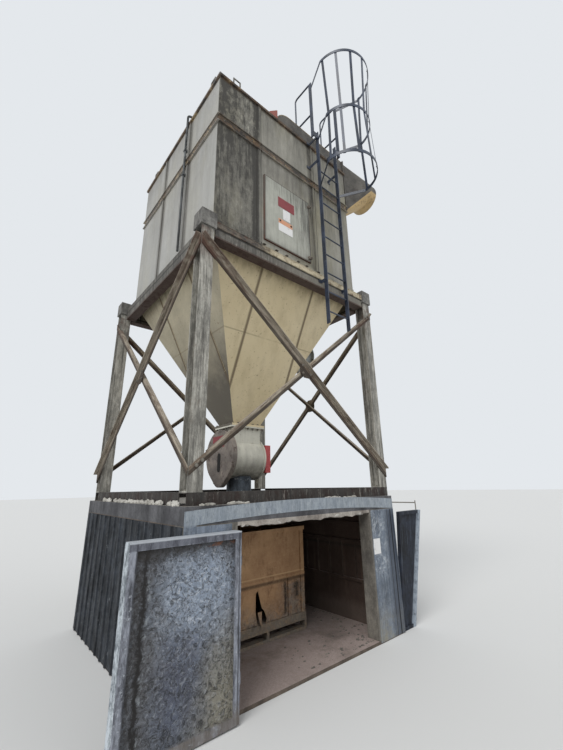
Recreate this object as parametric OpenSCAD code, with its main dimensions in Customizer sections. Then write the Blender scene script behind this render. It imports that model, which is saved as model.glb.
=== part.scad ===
/* [Bunker] */
// Margin of the deck beside the frame's legs, along the front
deck_side = 5; // [5:5:200]
// Margin of the deck in front of the frame's legs and behind them
deck_ahead = 75; // [20:5:250]
// Height of the bunker, from the ground to the top of the deck
bunker_h = 1560; // [1400:10:1800]
// Sideways place of the bunker against the frame that stands on it
bunker_x = -40; // [-60:5:0]
// Thickness of the side and rear walls
wall_t = 200; // [150:10:260]
// Thickness of the front wall beside the doorway
front_t = 160; // [120:10:220]
// Thickness of the deck slab
deck_t = 150; // [120:5:180]
// Thickness of the floor slab
floor_t = 30; // [20:5:60]
// Width of the doorway
door_w = 1925; // [1700:5:2100]
// Height of the doorway under the lintel
door_h = 1365; // [1280:5:1400]
// Thickness of the galvanised cladding sheets
sheet_t = 3; // [2:0.5:5]
// Height of the lintel sheet
lintel_sheet_h = 118; // [90:1:150]
// Rise of the lintel sheet's bent top at the middle
lintel_bow = 55; // [10:1:60]

/* [Door leaf] */
// Width of one door leaf
leaf_w = 935; // [800:5:950]
// Height of one door leaf
leaf_h = 1335; // [1200:5:1350]
// Thickness of a leaf's frame
leaf_t = 100; // [60:1:110]
// Face width of the leaf's frame bars
leaf_bar = 58; // [40:1:90]
// Depth of the skin behind the face of the leaf's frame
leaf_recess = 27; // [15:1:40]
// Clearance under the leaf
leaf_foot = 12; // [8:1:30]
// Diameter of the hinge pins
pin_d = 16; // [12:1:20]
// Distance from the hinge pin to the edge of the leaf
pin_off = 20; // [18:1:30]

/* [Wing panel] */
// Height of the panel beside the right jamb
wing_h = 1365; // [1200:5:1400]
// Width of the wing panel at its foot
wing_foot_w = 275; // [200:5:350]
// Width of the wing panel at its top
wing_top_w = 530; // [350:5:560]
// Forward lean of the wing panel
wing_lean = 4.6; // [2:0.2:6]
// Thickness of the wing panel's frame
wing_t = 45; // [30:1:60]
// Diameter of the rod that hooks the wing panel's top
rod_d = 14; // [10:1:20]

/* [Dust bin] */
// Width of the dust bin
bin_w = 1200; // [900:10:1300]
// Depth of the dust bin
bin_d = 900; // [700:10:1100]
// Height of the dust bin
bin_h = 1170; // [900:10:1200]
// Thickness of the dust bin's sheet
bin_t = 6; // [4:1:8]

/* [Support frame] */
// Distance from the housing's sides to the middle of the legs
leg_side = 127.5; // [122:0.5:150]
// Distance from the housing's front and back to the middle of the legs
leg_ahead = 50; // [30:1:80]
// Depth and flange width of the leg section
leg_s = 150; // [130:5:170]
// Flange thickness of the leg section
leg_f = 12; // [8:1:16]
// Web thickness of the leg section
leg_web = 9; // [7:1:12]
// Height of the base frame's channels
base_h = 110; // [80:5:150]
// Height of the underside of the leg caps above the ground
cap_z = 4440; // [4300:10:4500]
// Height of the leg caps
cap_h = 200; // [150:5:240]
// Width of the leg caps
cap_w = 190; // [170:5:210]
// Height of the ring beam's channels
ring_h = 200; // [160:5:240]
// Flange width of the ring beam's channels
ring_w = 130; // [120:5:160]
// Thickness of the channels' webs and flanges
chan_t = 9; // [6:1:12]
// Width of a brace's flat leg
brace_w = 95; // [70:1:110]
// Width of a brace's outstanding leg
brace_out = 50; // [30:1:60]
// Thickness of the brace angles and gussets
brace_t = 8; // [6:1:12]

/* [Housing] */
// Width of the filter housing along the front
housing_w = 2545; // [2500:5:2560]
// Depth of the filter housing
housing_d = 2600; // [2590:5:2640]
// Height of the housing, from the ring beam to the roof
housing_h = 2569; // [2300:1:2800]
// Thickness of the housing's walls
skin_t = 20; // [16:1:24]
// Height of the skirt at the foot of the housing
skirt_h = 150; // [100:5:180]
// Height of the bolted band's underside above the foot of the housing
band_z = 1678; // [1500:1:1800]
// Height of the bolted band
band_h = 132; // [90:1:160]
// How far the band stands out
band_out = 24; // [12:1:32]
// Width of a vertical stiffening rib
rib_w = 55; // [40:1:80]
// How far a vertical rib stands out
rib_out = 14; // [8:1:24]
// First front rib, from the middle of the front
rib_x1 = -622; // [-700:1:-580]
// Second front rib, from the middle of the front
rib_x2 = 446; // [360:1:520]
// Ribs on the other sides, from the middle of the side
rib_y = 433; // [350:1:520]

/* [Access door] */
// Width of the bolted access door
access_w = 850; // [700:5:900]
// Height of the bolted access door
access_h = 1065; // [900:5:1200]
// How far the access door stands out
access_t = 24; // [15:1:40]
// Distance from the first rib's middle to the access door
access_x = 82; // [60:1:100]
// Distance from the skirt to the access door
access_z = 72; // [50:1:90]

/* [Hopper] */
// Width of the hopper's outlet along the front
outlet_w = 460; // [400:5:500]
// Depth of the hopper's outlet from front to back
outlet_d = 360; // [300:5:400]
// Width of the flange round the outlet
flange_w = 45; // [35:1:55]
// Height of the hopper's outlet above the ground
outlet_z = 2550; // [2450:10:2650]
// Sideways place of the outlet
outlet_x = -20; // [-60:5:60]
// Front to back place of the outlet
outlet_y = -45; // [-100:5:0]
// Thickness of the hopper's plates
plate_t = 10; // [6:1:14]
// Diameter of the dirty air inlet
inlet_d = 460; // [400:5:480]
// Height of the inlet's axis above the ground
inlet_z = 3880; // [3700:10:4000]
// Front to back place of the inlet's axis
inlet_y = -45; // [-200:5:200]
// Distance from the ring beam's outer face in to the inlet's flange
inlet_back = 65; // [0:5:95]
// Depth that a duct slips into the inlet
inlet_seat = 300; // [150:5:310]

/* [Rotary airlock] */
// Diameter of the airlock's body
lock_d = 540; // [480:5:580]
// Length of the airlock's body
lock_l = 524; // [460:2:560]
// Height of the rotor's axis above the ground
lock_z = 2085; // [2050:5:2120]
// Diameter of the discharge spout
spout_d = 340; // [300:5:400]
// Height of the chain guard
guard_h = 765; // [740:5:800]
// Diameter of the chain guard's upper lobe
guard_d1 = 700; // [560:5:740]
// Diameter of the chain guard's lower lobe
guard_d2 = 300; // [240:5:340]
// Thickness of the chain guard
guard_t = 70; // [50:5:110]
// Size of the red guard over the shaft's free end, along Y and Z
tail_s = 385; // [340:5:420]

/* [Ladder] */
// Clear width between the ladder's rails
ladder_w = 406; // [380:2:450]
// Middle of the ladder, from the middle of the front
ladder_x = 615; // [560:1:640]
// Distance from the housing's front to the back of the rails
ladder_off = 170; // [150:5:200]
// Depth of a rail
rail_d = 60; // [50:1:76]
// Thickness of a rail
rail_t = 12; // [9:1:14]
// Rung spacing
rung_step = 305; // [280:1:305]
// Diameter of the rungs
rung_d = 21; // [18:1:25]
// Number of rungs
rung_n = 9; // [8:1:10]
// Height of the lowest rung above the ground
rung_z = 3967; // [3900:1:4050]
// Height of the walk-through rails above the roof
rail_top = 1090; // [1000:10:1250]
// Clear width between the walk-through rails
walk_w = 610; // [560:5:680]
// Radius of the cage's top hoop
hoop_top_r = 470; // [420:1:500]
// Radius of the cage's middle hoop
hoop_mid_r = 405; // [380:1:420]
// Radius of the cage's bottom hoop
hoop_low_r = 434; // [400:1:460]
// Height of the top hoop above the roof
hoop_top_z = 955; // [900:5:1000]
// Height of the middle hoop, against the roof
hoop_mid_z = -115; // [-200:5:-60]
// Height of the bottom hoop, against the roof
hoop_low_z = -1015; // [-1200:5:-900]
// Height of the hoops' bars
hoop_w = 50; // [38:1:65]
// Thickness of the hoops' bars and the cage bars
hoop_t = 8; // [6:1:10]
// Width of the upright cage bars
bar_w = 38; // [30:1:50]
// Number of upright cage bars
bar_n = 7; // [5:1:9]
// Diameter of the grab rails' bar
grab_d = 27; // [20:1:34]

/* [Outlet] */
// Diameter of the clean air collar
collar_d = 540; // [480:5:560]
// Length of the square to round transition
trans_l = 500; // [400:10:600]
// Height of the transition's square end
trans_h = 1120; // [1000:10:1200]
// Depth of the transition's square end
trans_d = 600; // [560:10:700]
// Height of the hood on the roof
hood_h = 290; // [200:5:320]
// Left end of the hood, from the middle of the front
hood_x0 = -250; // [-300:5:0]
// Diameter of the conduit on the left side
conduit_d = 33; // [27:1:48]
// Front to back place of the conduit
conduit_y = -400; // [-500:5:-300]

/* [Hidden] */
$fn = 48;

// Clearance where one seated piece lies beside another
seat = 0.3;
// Finish colours
concrete_c = "#8d8a82";
galv_c = "#9aa3a8";
steel_c = "#7d7468";
cream_c = "#c9bc9c";
beige_c = "#aaa591";
navy_c = "#252b38";
tan_c = "#a5784a";
red_c = "#a8433c";

// Faces of the housing
hx = housing_w / 2;
hy = housing_d / 2;

// The rows of legs, and the outer faces of the legs' flanges
leg_x = hx + leg_side;
leg_y = hy + leg_ahead;
leg_face_y = leg_y + leg_s / 2;
leg_face_x = leg_x + leg_s / 2;
ring_face_y = leg_y + ring_w / 2;
ring_in = 5;
ring_face_x = leg_x - ring_in;
inlet_x = ring_face_x - inlet_back;

// Faces of the bunker
bunker_w = 2 * (leg_face_x + deck_side);
bunker_d = 2 * (leg_face_y + deck_ahead);
bx0 = bunker_x - bunker_w / 2;
bx1 = bunker_x + bunker_w / 2;
by0 = -bunker_d / 2;
by1 = bunker_d / 2;
deck_z = bunker_h - deck_t;
door_x0 = bunker_x - door_w / 2;
door_x1 = bunker_x + door_w / 2;
sheet_foot = 8;

// Levels of the frame
base_z = bunker_h + base_h;
cap_over = 90;
ring_top = cap_z + cap_h - cap_over;
ring_z = ring_top - ring_h;
roof_z = ring_top + housing_h;
brace_end = 190;
brace_in = 5;
brace_gap = 20;
gusset_d = 2.4 * brace_w;
brace_lo = base_z + brace_end;
brace_hi = cap_z - brace_end;

// The door leaf and its hinge pin, on the face of the left jamb
leaf_gap = 9;
leaf_y1 = by0 - sheet_t - leaf_gap;
pin_back = 10;
pin_x = door_x0 - pin_back;
pin_y = leaf_y1 - leaf_t / 2;
hinge_z = [230, 1060];
hinge_arm = 12;
hinge_barrel = 70;
hinge_d = 34;
hinge_w = 24;
hinge_plate = [6, 130];
pin_fit = 1;

// The wing panel's foot stands behind the front face, and its rod reaches from the deck's edge
wing_back = 60;
wing_bar = 40;
wing_recess = 21;
rod_z = 67;
rod_fall = 22;
rod_end = 75;

// The dust bin stands behind the doorway, on skids with slots for a truck's forks
bin_x = 0;
bin_back = 865;
bin_y0 = by0 + bin_back;
bin_foot = 190;
bin_rim = 20;
bin_rim_h = 45;
bin_rail_z = 600;
bin_rail_h = 55;
bin_post = 60;
bin_post_t = 14;
fork_z0 = 30;
fork_z1 = 100;
bin_mid_post = 276;
bin_skid = 84;
bin_torn = [[-735, bin_t], [-762, 130], [-758, 318], [-728, 338], [-690, 210], [-668, 150],
    [-640, 128], [-600, 40], [-612, bin_t]];

// Ribs of the liner on the right wall, and of the sheet on the left wall
liner_rail = 22;
liner_rib = 16;
liner_rib_w = 36;
liner_step = 230;
side_rib = 14;
side_rib_w = 40;
side_rib_step = 190;

// The ladder's rails and the line of its rungs
rail_y = -hy - ladder_off - rail_d / 2;
rail_x = ladder_w / 2 + rail_t / 2;
rail_foot = 185;
rail_over = 60;
splice = 100;
rail_z0 = rung_z - rail_foot;
rail_z1 = roof_z + rail_over;
rail_front = rail_y - rail_d / 2;
walk_x = walk_w / 2 + rail_t / 2;
walk_z0 = roof_z - splice;
walk_z1 = roof_z + rail_top;
cage_deep = 347;
bar_from = 185;
cage_y = rail_front - cage_deep;

// The clean air outlet on the right of the housing
trans_z0 = roof_z + hood_h - trans_h;
trans_y0 = -hy;
trans_plate = 20;
trans_inset = 30;
collar_in = 45;
collar_up = 625;
collar_y = -hy + collar_in;
collar_z = trans_z0 + collar_up;
collar_l = 150;
collar_t = 6;
collar_stop = 10;

// A box from its lower corner to its upper corner
module block(a, b) {
    translate(a) cube([b[0] - a[0], b[1] - a[1], b[2] - a[2]]);
}

// A channel along X: the web stands at y = 0 and the flanges point to +Y
module channel(len, h, w) {
    rotate([90, 0, 90])
        linear_extrude(len)
            difference() {
                square([w, h]);
                translate([chan_t, chan_t]) square([w, h - 2 * chan_t]);
            }
}

// A round bar from point a to point b
module bar(a, b, d) {
    v = b - a;
    translate(a) rotate([0, acos(v[2] / norm(v)), atan2(v[1], v[0])]) cylinder(d = d, h = norm(v), $fn = 20);
}

// An outline in the XZ plane, given a thickness towards +Y
module upright(t) {
    translate([0, t, 0]) rotate([90, 0, 0]) linear_extrude(t) children();
}

module floor_slab() {
    color(concrete_c) block([bx0, by0, 0], [bx1, by1, floor_t]);
}

module left_wall() {
    color(concrete_c)
        block([bx0, by0 + front_t, floor_t], [bx0 + wall_t, by1 - wall_t, deck_z]);
}

// The right wall carries a ribbed liner sheet on its inner face
module right_wall() {
    color(concrete_c) {
        block([bx1 - wall_t, by0 + front_t, floor_t], [bx1, by1 - wall_t, deck_z]);
        for (z = [0.35, 0.68, 0.84] * deck_z)
            block([bx1 - wall_t - liner_rail, by0 + front_t, z], [bx1 - wall_t, by1 - wall_t, z + liner_rib_w]);
        for (y = [by0 + front_t + liner_step / 2 : liner_step : by1 - wall_t - liner_rib_w])
            block([bx1 - wall_t - liner_rib, y, 0.36 * deck_z], [bx1 - wall_t, y + liner_rib_w, 0.69 * deck_z]);
    }
}

module rear_wall() {
    color(concrete_c) block([bx0, by1 - wall_t, floor_t], [bx1, by1, deck_z]);
}

module left_jamb() {
    color(concrete_c) block([bx0, by0, floor_t], [door_x0, by0 + front_t, deck_z]);
}

module right_jamb() {
    color(concrete_c) block([door_x1, by0, floor_t], [bx1, by0 + front_t, deck_z]);
}

// The deck, with the round hole under the discharge spout
module deck_slab() {
    color(concrete_c)
        difference() {
            block([bx0, by0, deck_z], [bx1, by1, bunker_h]);
            translate([outlet_x, outlet_y, deck_z - 1])
                cylinder(d = spout_d - 2 * spout_t, h = deck_t + 2);
        }
}

// The beam over the doorway, with a crumbled lower edge
module lintel() {
    bits = 18;
    crumb = 13;
    color(concrete_c)
        translate([0, by0, 0])
            upright(front_t)
                polygon(concat(
                    [[door_x0, deck_z], [door_x0, door_h + crumb]],
                    [for (i = [1 : bits - 1])
                        [door_x0 + door_w * i / bits, door_h + crumb * (sin(i * 137) + sin(i * 71) / 2)]],
                    [[door_x1, door_h + crumb], [door_x1, deck_z]]));
}

// Height of the lintel sheet's bent line at x
function bow(x) = lintel_bow * (1 - pow((x - bunker_x) / (bunker_w / 2), 2));

// The galvanised sheet over the lintel, pushed up at its middle, with a patch on its left end
module lintel_sheet() {
    sheet_lap = 5;
    z0 = deck_z - sheet_lap;
    steps = 16;
    patch_w = 110;
    patch_drop = 35;
    color(galv_c) {
        translate([0, by0 - sheet_t, 0])
            upright(sheet_t)
                polygon(concat(
                    [for (i = [0 : steps])
                        let (x = bx0 + bunker_w * i / steps) [x, z0 + bow(x)]],
                    [for (i = [steps : -1 : 0])
                        let (x = bx0 + bunker_w * i / steps) [x, z0 + lintel_sheet_h + bow(x)]]));
        block([bx0, by0 - 2 * sheet_t, z0 - patch_drop], [bx0 + patch_w, by0 - sheet_t, z0 + lintel_sheet_h]);
    }
}

// The galvanised sheets on the faces of the two jambs
module jamb_sheet() {
    z1 = deck_z - sheet_foot;
    strip = 75;
    bare_right = 30;
    bare_left = 60;
    color(galv_c) {
        block([door_x1 + bare_right, by0 - sheet_t, sheet_foot], [bx1 - strip, by0, z1]);
        block([bx1 - strip + sheet_t, by0 - 2 * sheet_t, sheet_foot], [bx1, by0, z1]);
        block([bx0, by0 - sheet_t, sheet_foot], [door_x0 - bare_left, by0, z1]);
    }
}

// The ribbed sheet on the outside of the left wall
module side_sheet() {
    margin = 12;
    y0 = by0 + margin;
    y1 = by1 - margin;
    color(galv_c) {
        block([bx0 - sheet_t, y0, sheet_foot], [bx0, y1, deck_z - sheet_foot]);
        translate([bx0 - sheet_t, 0, sheet_foot]) linear_extrude(deck_z - 2 * sheet_foot)
            for (y = [y0 : side_rib_step : y1 - side_rib_w])
                polygon([[0, y], [-side_rib, y + side_rib / 2], [-side_rib, y + side_rib_w - side_rib / 2],
                    [0, y + side_rib_w]]);
    }
}

// The frame and the recessed skin of one leaf; x runs away from the hinge
module leaf() {
    difference() {
        cube([leaf_w, leaf_t, leaf_h]);
        translate([leaf_bar, -1, leaf_bar])
            cube([leaf_w - 2 * leaf_bar, leaf_recess + 1, leaf_h - 2 * leaf_bar]);
        translate([leaf_bar, leaf_recess + sheet_t, leaf_bar])
            cube([leaf_w - 2 * leaf_bar, leaf_t, leaf_h - 2 * leaf_bar]);
        translate([chan_t, leaf_recess + sheet_t, chan_t])
            cube([leaf_w - 2 * chan_t, leaf_t, leaf_h - 2 * chan_t]);
    }
    for (z = [leaf_h / 3, leaf_h * 2 / 3])
        translate([chan_t, leaf_recess + sheet_t, z - 20]) cube([leaf_w - 2 * chan_t, 40, 40]);
}

// The hinged leaf, swung open flat beside the doorway
module left_door() {
    color(galv_c) {
        translate([pin_x - pin_off - leaf_w, leaf_y1 - leaf_t, leaf_foot]) leaf();
        for (z = hinge_z)
            translate([0, 0, z + hinge_arm + seat]) {
                difference() {
                    union() {
                        translate([pin_x, pin_y, 0]) cylinder(d = hinge_d, h = hinge_barrel);
                        translate([pin_x - pin_off, pin_y - hinge_arm / 2, 0])
                            cube([pin_off, hinge_arm, hinge_barrel]);
                    }
                    translate([pin_x, pin_y, -1]) cylinder(d = pin_d + pin_fit, h = hinge_barrel + 2);
                }
            }
    }
}

// Two arms with upright pins, on plates on the left jamb's edge
module door_hinges() {
    color(steel_c)
        for (z = hinge_z) {
            translate([pin_x - hinge_w / 2, pin_y, z]) cube([hinge_w, by0 - pin_y, hinge_arm]);
            translate([pin_x, pin_y, z]) cylinder(d = hinge_w, h = hinge_arm);
            translate([pin_x, pin_y, z]) cylinder(d = pin_d, h = hinge_arm + hinge_barrel - 5);
            translate([pin_x - hinge_w / 2, by0 - hinge_plate[0], z + hinge_arm / 2 - hinge_plate[1] / 2])
                cube([hinge_w, hinge_plate[0], hinge_plate[1]]);
        }
}

// The outline of the wing panel, drawn in by m, from its foot to its top
module wing_outline(m, foot) {
    edge = m * sqrt(1 + pow((wing_top_w - wing_foot_w) / wing_h, 2));
    run = (wing_top_w - wing_foot_w) / wing_h;
    polygon([[m, foot], [wing_foot_w + run * foot - edge, foot],
        [wing_top_w - run * m - edge, wing_h - m], [m, wing_h - m]]);
}

// The tapered wing panel at the right jamb: a frame with a recessed skin, cut level at its foot
module wing_panel() {
    color(galv_c)
        translate([bx1 + seat, by0 + wing_back, 0])
            intersection() {
                rotate([wing_lean, 0, 0]) translate([0, -wing_t, 0]) difference() {
                    upright(wing_t) wing_outline(0, -wing_t);
                    translate([0, -1, 0]) upright(wing_recess + 1) wing_outline(wing_bar, wing_bar);
                    translate([0, wing_recess + sheet_t, 0]) upright(wing_t) wing_outline(chan_t, chan_t);
                }
                translate([-1, -wing_t - wing_h * sin(wing_lean) - 1, 0])
                    cube([wing_top_w + 2, wing_h, wing_h + 1]);
            }
}

// The rod from the bunker's side to the hook that holds the wing panel's top
module hook_rod() {
    top_y = by0 + wing_back - wing_h * sin(wing_lean) - wing_t / 2;
    hook_x = bx1 + wing_top_w - rod_end;
    color(steel_c) {
        difference() {
            bar([bx1 - rod_d, by0 + rod_d, deck_z + rod_z], [hook_x, top_y, deck_z + rod_z - rod_fall], rod_d);
            block([bx1 - 2 * rod_d, by0 - rod_d, deck_z], [bx1 + seat, by0 + 3 * rod_d, bunker_h]);
        }
        bar([hook_x, top_y, deck_z + rod_z + rod_d / 2],
            [hook_x, top_y, wing_h * cos(wing_lean) + wing_t / 2 * sin(wing_lean) + seat], rod_d);
    }
}

// The dust bin: a sheet box with a rim, a rail, corner posts and a torn hole, on two skids
module dust_bin() {
    x0 = bin_x - bin_w / 2;
    x1 = bin_x + bin_w / 2;
    y1 = bin_y0 + bin_d;
    color(tan_c)
        translate([0, 0, floor_t]) {
            difference() {
                block([x0, bin_y0, bin_foot], [x1, y1, bin_h]);
                block([x0 + bin_t, bin_y0 + bin_t, bin_foot + bin_t], [x1 - bin_t, y1 - bin_t, bin_h + 1]);
                translate([x1, bin_y0 - 1, bin_foot]) upright(bin_t + 2) polygon(bin_torn);
            }
            difference() {
                block([x0 - bin_rim, bin_y0 - bin_rim, bin_h - bin_rim_h], [x1 + bin_rim, y1 + bin_rim, bin_h]);
                block([x0 + bin_t, bin_y0 + bin_t, bin_h - bin_rim_h - 1], [x1 - bin_t, y1 - bin_t, bin_h + 1]);
            }
            translate([x0, bin_y0, bin_rail_z]) rotate([90, 0, 90]) linear_extrude(bin_w)
                polygon([[0, 0], [-bin_rim, 0], [-bin_rim, bin_rail_h / 2], [0, bin_rail_h]]);
            for (x = [x0, x1 - bin_post])
                block([x, bin_y0 - bin_post_t, bin_foot], [x + bin_post, bin_y0, bin_h - bin_rim_h]);
            block([x1 - bin_mid_post, bin_y0 - bin_post_t, bin_foot],
                [x1 - bin_mid_post + bin_post, bin_y0, bin_rail_z]);
            difference() {
                block([x0 - bin_rim / 2, bin_y0 - bin_rim, 0],
                    [x1 + bin_rim / 2, bin_y0 + bin_skid - bin_rim, bin_foot]);
                for (x = [x0 + bin_rim, bin_x + bin_rim])
                    block([x, bin_y0 - bin_rim - 1, fork_z0],
                        [x + bin_w / 2 - 2 * bin_rim, bin_y0 + bin_skid - bin_rim + 1, fork_z1]);
            }
            block([x0 - bin_rim / 2, y1 - bin_skid + bin_rim, 0], [x1 + bin_rim / 2, y1, bin_foot]);
        }
}

// The base frame: four channels on the deck, with webs to the outside
module base_beam_x() {
    color(steel_c)
        translate([-leg_face_x, -leg_face_y, bunker_h]) channel(2 * leg_face_x, base_h, leg_s);
}

module base_beam_y() {
    l = 2 * (leg_face_y - leg_s);
    color(steel_c)
        translate([-leg_face_x, l / 2, bunker_h])
            rotate([0, 0, -90]) channel(l, base_h, leg_s);
}

module base_front() { base_beam_x(); }
module base_rear() { mirror([0, 1, 0]) base_beam_x(); }
module base_left() { base_beam_y(); }
module base_right() { mirror([1, 0, 0]) base_beam_y(); }

// One leg: a rolled section with a foot plate and a cap, at the front left
module leg() {
    foot = 14;
    cap_t = 11;
    color(steel_c)
        translate([-leg_x, -leg_y, base_z]) {
            translate([-leg_s / 2, -leg_s / 2, 0]) cube([leg_s, leg_s, foot]);
            linear_extrude(cap_z - base_z) {
                translate([-leg_s / 2, -leg_s / 2]) square([leg_s, leg_f]);
                translate([-leg_s / 2, leg_s / 2 - leg_f]) square([leg_s, leg_f]);
                translate([-leg_web / 2, -leg_s / 2]) square([leg_web, leg_s]);
            }
            translate([0, 0, cap_z - base_z]) difference() {
                translate([-cap_w / 2, -cap_w / 2, 0]) cube([cap_w, cap_w, cap_h]);
                translate([-cap_w / 2 + cap_t, -cap_w / 2 + cap_t, cap_t])
                    cube([cap_w - 2 * cap_t, cap_w - 2 * cap_t, cap_h - 2 * cap_t]);
            }
        }
}

module leg_front_left() { leg(); }
module leg_front_right() { mirror([1, 0, 0]) leg(); }
module leg_rear_left() { mirror([0, 1, 0]) leg(); }
module leg_rear_right() { mirror([1, 0, 0]) mirror([0, 1, 0]) leg(); }

// The ring beam: channels between the leg caps, with webs to the outside
module ring_beam_x() {
    l = 2 * leg_x - cap_w;
    color(steel_c) translate([-l / 2, -ring_face_y, ring_z]) channel(l, ring_h, ring_w);
}

module ring_beam_y() {
    l = 2 * leg_y - cap_w;
    color(steel_c)
        translate([-ring_face_x, l / 2, ring_z]) rotate([0, 0, -90]) channel(l, ring_h, ring_w);
}

module ring_front() { ring_beam_x(); }
module ring_rear() { mirror([0, 1, 0]) ring_beam_x(); }
module ring_left() { ring_beam_y(); }
module ring_right() { mirror([1, 0, 0]) ring_beam_y(); }

// A diagonal of width w, from the left end to the right end of a bay of half width b
function diagonal(b, z0, z1, w) =
    let (v = w / 2 / cos(atan((z1 - z0) / (2 * b))))
    [[-b, z0 - v], [b, z1 - v], [b, z1 + v], [-b, z0 + v]];

// The outer diagonal: an angle with its leg outwards, end packs and an eight-sided gusset
module outer_brace(b, z0, z1) {
    v = brace_w / 2 / cos(atan((z1 - z0) / (2 * b)));
    color(steel_c)
        translate([0, -2 * brace_t, 0]) {
            upright(brace_t) polygon(diagonal(b, z0, z1, brace_w));
            translate([0, -brace_out, 0])
                upright(brace_out + brace_t)
                    translate([0, v - brace_t / 2]) polygon(diagonal(b, z0, z1, brace_t));
            for (e = [0, 1])
                translate([0, brace_t, 0]) upright(brace_t)
                    intersection() {
                        polygon(diagonal(b, z0, z1, brace_w));
                        translate([e == 0 ? -b : b - leg_s - brace_gap, 0])
                            square([leg_s + brace_gap, roof_z]);
                    }
            translate([0, -brace_t, (z0 + z1) / 2]) upright(brace_t)
                rotate(22.5) circle(d = gusset_d, $fn = 8);
        }
}

// The inner diagonal: an angle with its leg inwards, clear of the legs
module inner_brace(b, z0, z1) {
    v = brace_w / 2 / cos(atan((z1 - z0) / (2 * b)));
    color(steel_c)
        translate([0, -brace_t, 0]) {
            upright(brace_t) polygon(diagonal(b, z0, z1, brace_w));
            intersection() {
                upright(brace_out)
                    translate([0, v - brace_t / 2]) polygon(diagonal(b, z0, z1, brace_t));
                translate([-b + leg_s + brace_gap, 0, 0])
                    cube([2 * (b - leg_s - brace_gap), brace_out, roof_z]);
            }
        }
}

module front_brace_a() {
    translate([0, -leg_face_y, 0]) outer_brace(leg_face_x - brace_in, brace_hi, brace_lo);
}
module front_brace_b() {
    translate([0, -leg_face_y, 0]) inner_brace(leg_face_x - brace_in, brace_lo, brace_hi);
}
module rear_brace_a() { mirror([0, 1, 0]) front_brace_a(); }
module rear_brace_b() { mirror([0, 1, 0]) front_brace_b(); }
module left_brace_a() {
    translate([-leg_face_x, 0, 0]) rotate([0, 0, -90]) outer_brace(leg_face_y - brace_in, brace_lo, brace_hi);
}
module left_brace_b() {
    translate([-leg_face_x, 0, 0]) rotate([0, 0, -90]) inner_brace(leg_face_y - brace_in, brace_hi, brace_lo);
}
module right_brace_a() { mirror([1, 0, 0]) left_brace_a(); }
module right_brace_b() { mirror([1, 0, 0]) left_brace_b(); }

// The hopper: four sloping plates from the ring beam to the outlet, with welded seams
hop_x = ring_face_x - ring_w - seat;
hop_y = ring_face_y - ring_w - seat;
hop_top = ring_top - seat;
rim_h = 12;
rim_w = 60;
rim_lap = 30;
out_flange = 30;
lock_flange = 20;
seam_w = 34;
seam_out = 4;
seam_x = 465;

module frustum(inset, z0, z1) {
    hull() {
        translate([outlet_x, outlet_y, z0]) linear_extrude(1)
            square([outlet_w - 2 * inset, outlet_d - 2 * inset], center = true);
        translate([0, 0, z1 - 1]) linear_extrude(1)
            square([2 * (hop_x - inset - rim_w), 2 * (hop_y - inset - rim_w)], center = true);
    }
}

// The opening that the dirty air comes through, along the inlet's axis from x0 to x1
module inlet_hole(d, x0, x1) {
    translate([x0, inlet_y, inlet_z]) rotate([0, 90, 0]) cylinder(d = d, h = x1 - x0);
}

// Where a seam starts on a plate that slopes from the outlet's edge to half the rim
function seam_foot(edge, half) =
    outlet_z + (hop_top - rim_h - outlet_z) * (seam_x + seam_w / 2 - edge) / (half - edge);

module hopper() {
    z1 = hop_top - rim_h;
    foot_x = seam_foot(outlet_x + outlet_w / 2, hop_x - rim_w);
    foot_y = seam_foot(outlet_y + outlet_d / 2, hop_y - rim_w);
    color(cream_c) {
        difference() {
            union() {
                frustum(0, outlet_z, z1);
                intersection() {
                    frustum(-seam_out, outlet_z, z1);
                    for (s = [-1, 1]) {
                        translate([s * seam_x - seam_w / 2, -hop_y, foot_x]) cube([seam_w, 2 * hop_y, z1]);
                        translate([-hop_x, s * seam_x - seam_w / 2, foot_y]) cube([2 * hop_x, seam_w, z1]);
                    }
                }
            }
            frustum(plate_t, outlet_z - 1, z1 + 1);
            inlet_hole(inlet_d - 4 * collar_t, outlet_x, inlet_x);
        }
        translate([0, 0, z1]) linear_extrude(rim_h) difference() {
            square([2 * hop_x, 2 * hop_y], center = true);
            square([2 * (hop_x - rim_w - rim_lap), 2 * (hop_y - rim_w - rim_lap)], center = true);
        }
        translate([outlet_x, outlet_y, outlet_z - out_flange]) linear_extrude(out_flange) difference() {
            square([outlet_w + 2 * flange_w, outlet_d + 2 * flange_w], center = true);
            square([outlet_w - 2 * plate_t, outlet_d - 2 * plate_t], center = true);
        }
    }
}

// The dirty air inlet, cut to the slope of the hopper's right plate, with a stop inside
module inlet_stub() {
    flange_t = 16;
    color(galv_c)
        difference() {
            union() {
                inlet_hole(inlet_d, outlet_x + outlet_w, inlet_x);
                inlet_hole(inlet_d + 2 * flange_w, inlet_x - flange_t, inlet_x);
            }
            inlet_hole(inlet_d - 4 * collar_t, outlet_x, inlet_x + 1);
            inlet_hole(inlet_d - 2 * collar_t, inlet_x - inlet_seat, inlet_x + 1);
            translate([seat, 0, 0]) frustum(0, outlet_z, hop_top - rim_h);
        }
}

// The rotary airlock: a drum between end flanges, a neck up to the hopper and the shaft's bearings
lock_end = 18;
lock_lip = 20;
bearing_d = 180;
bearing_l = 60;

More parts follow.
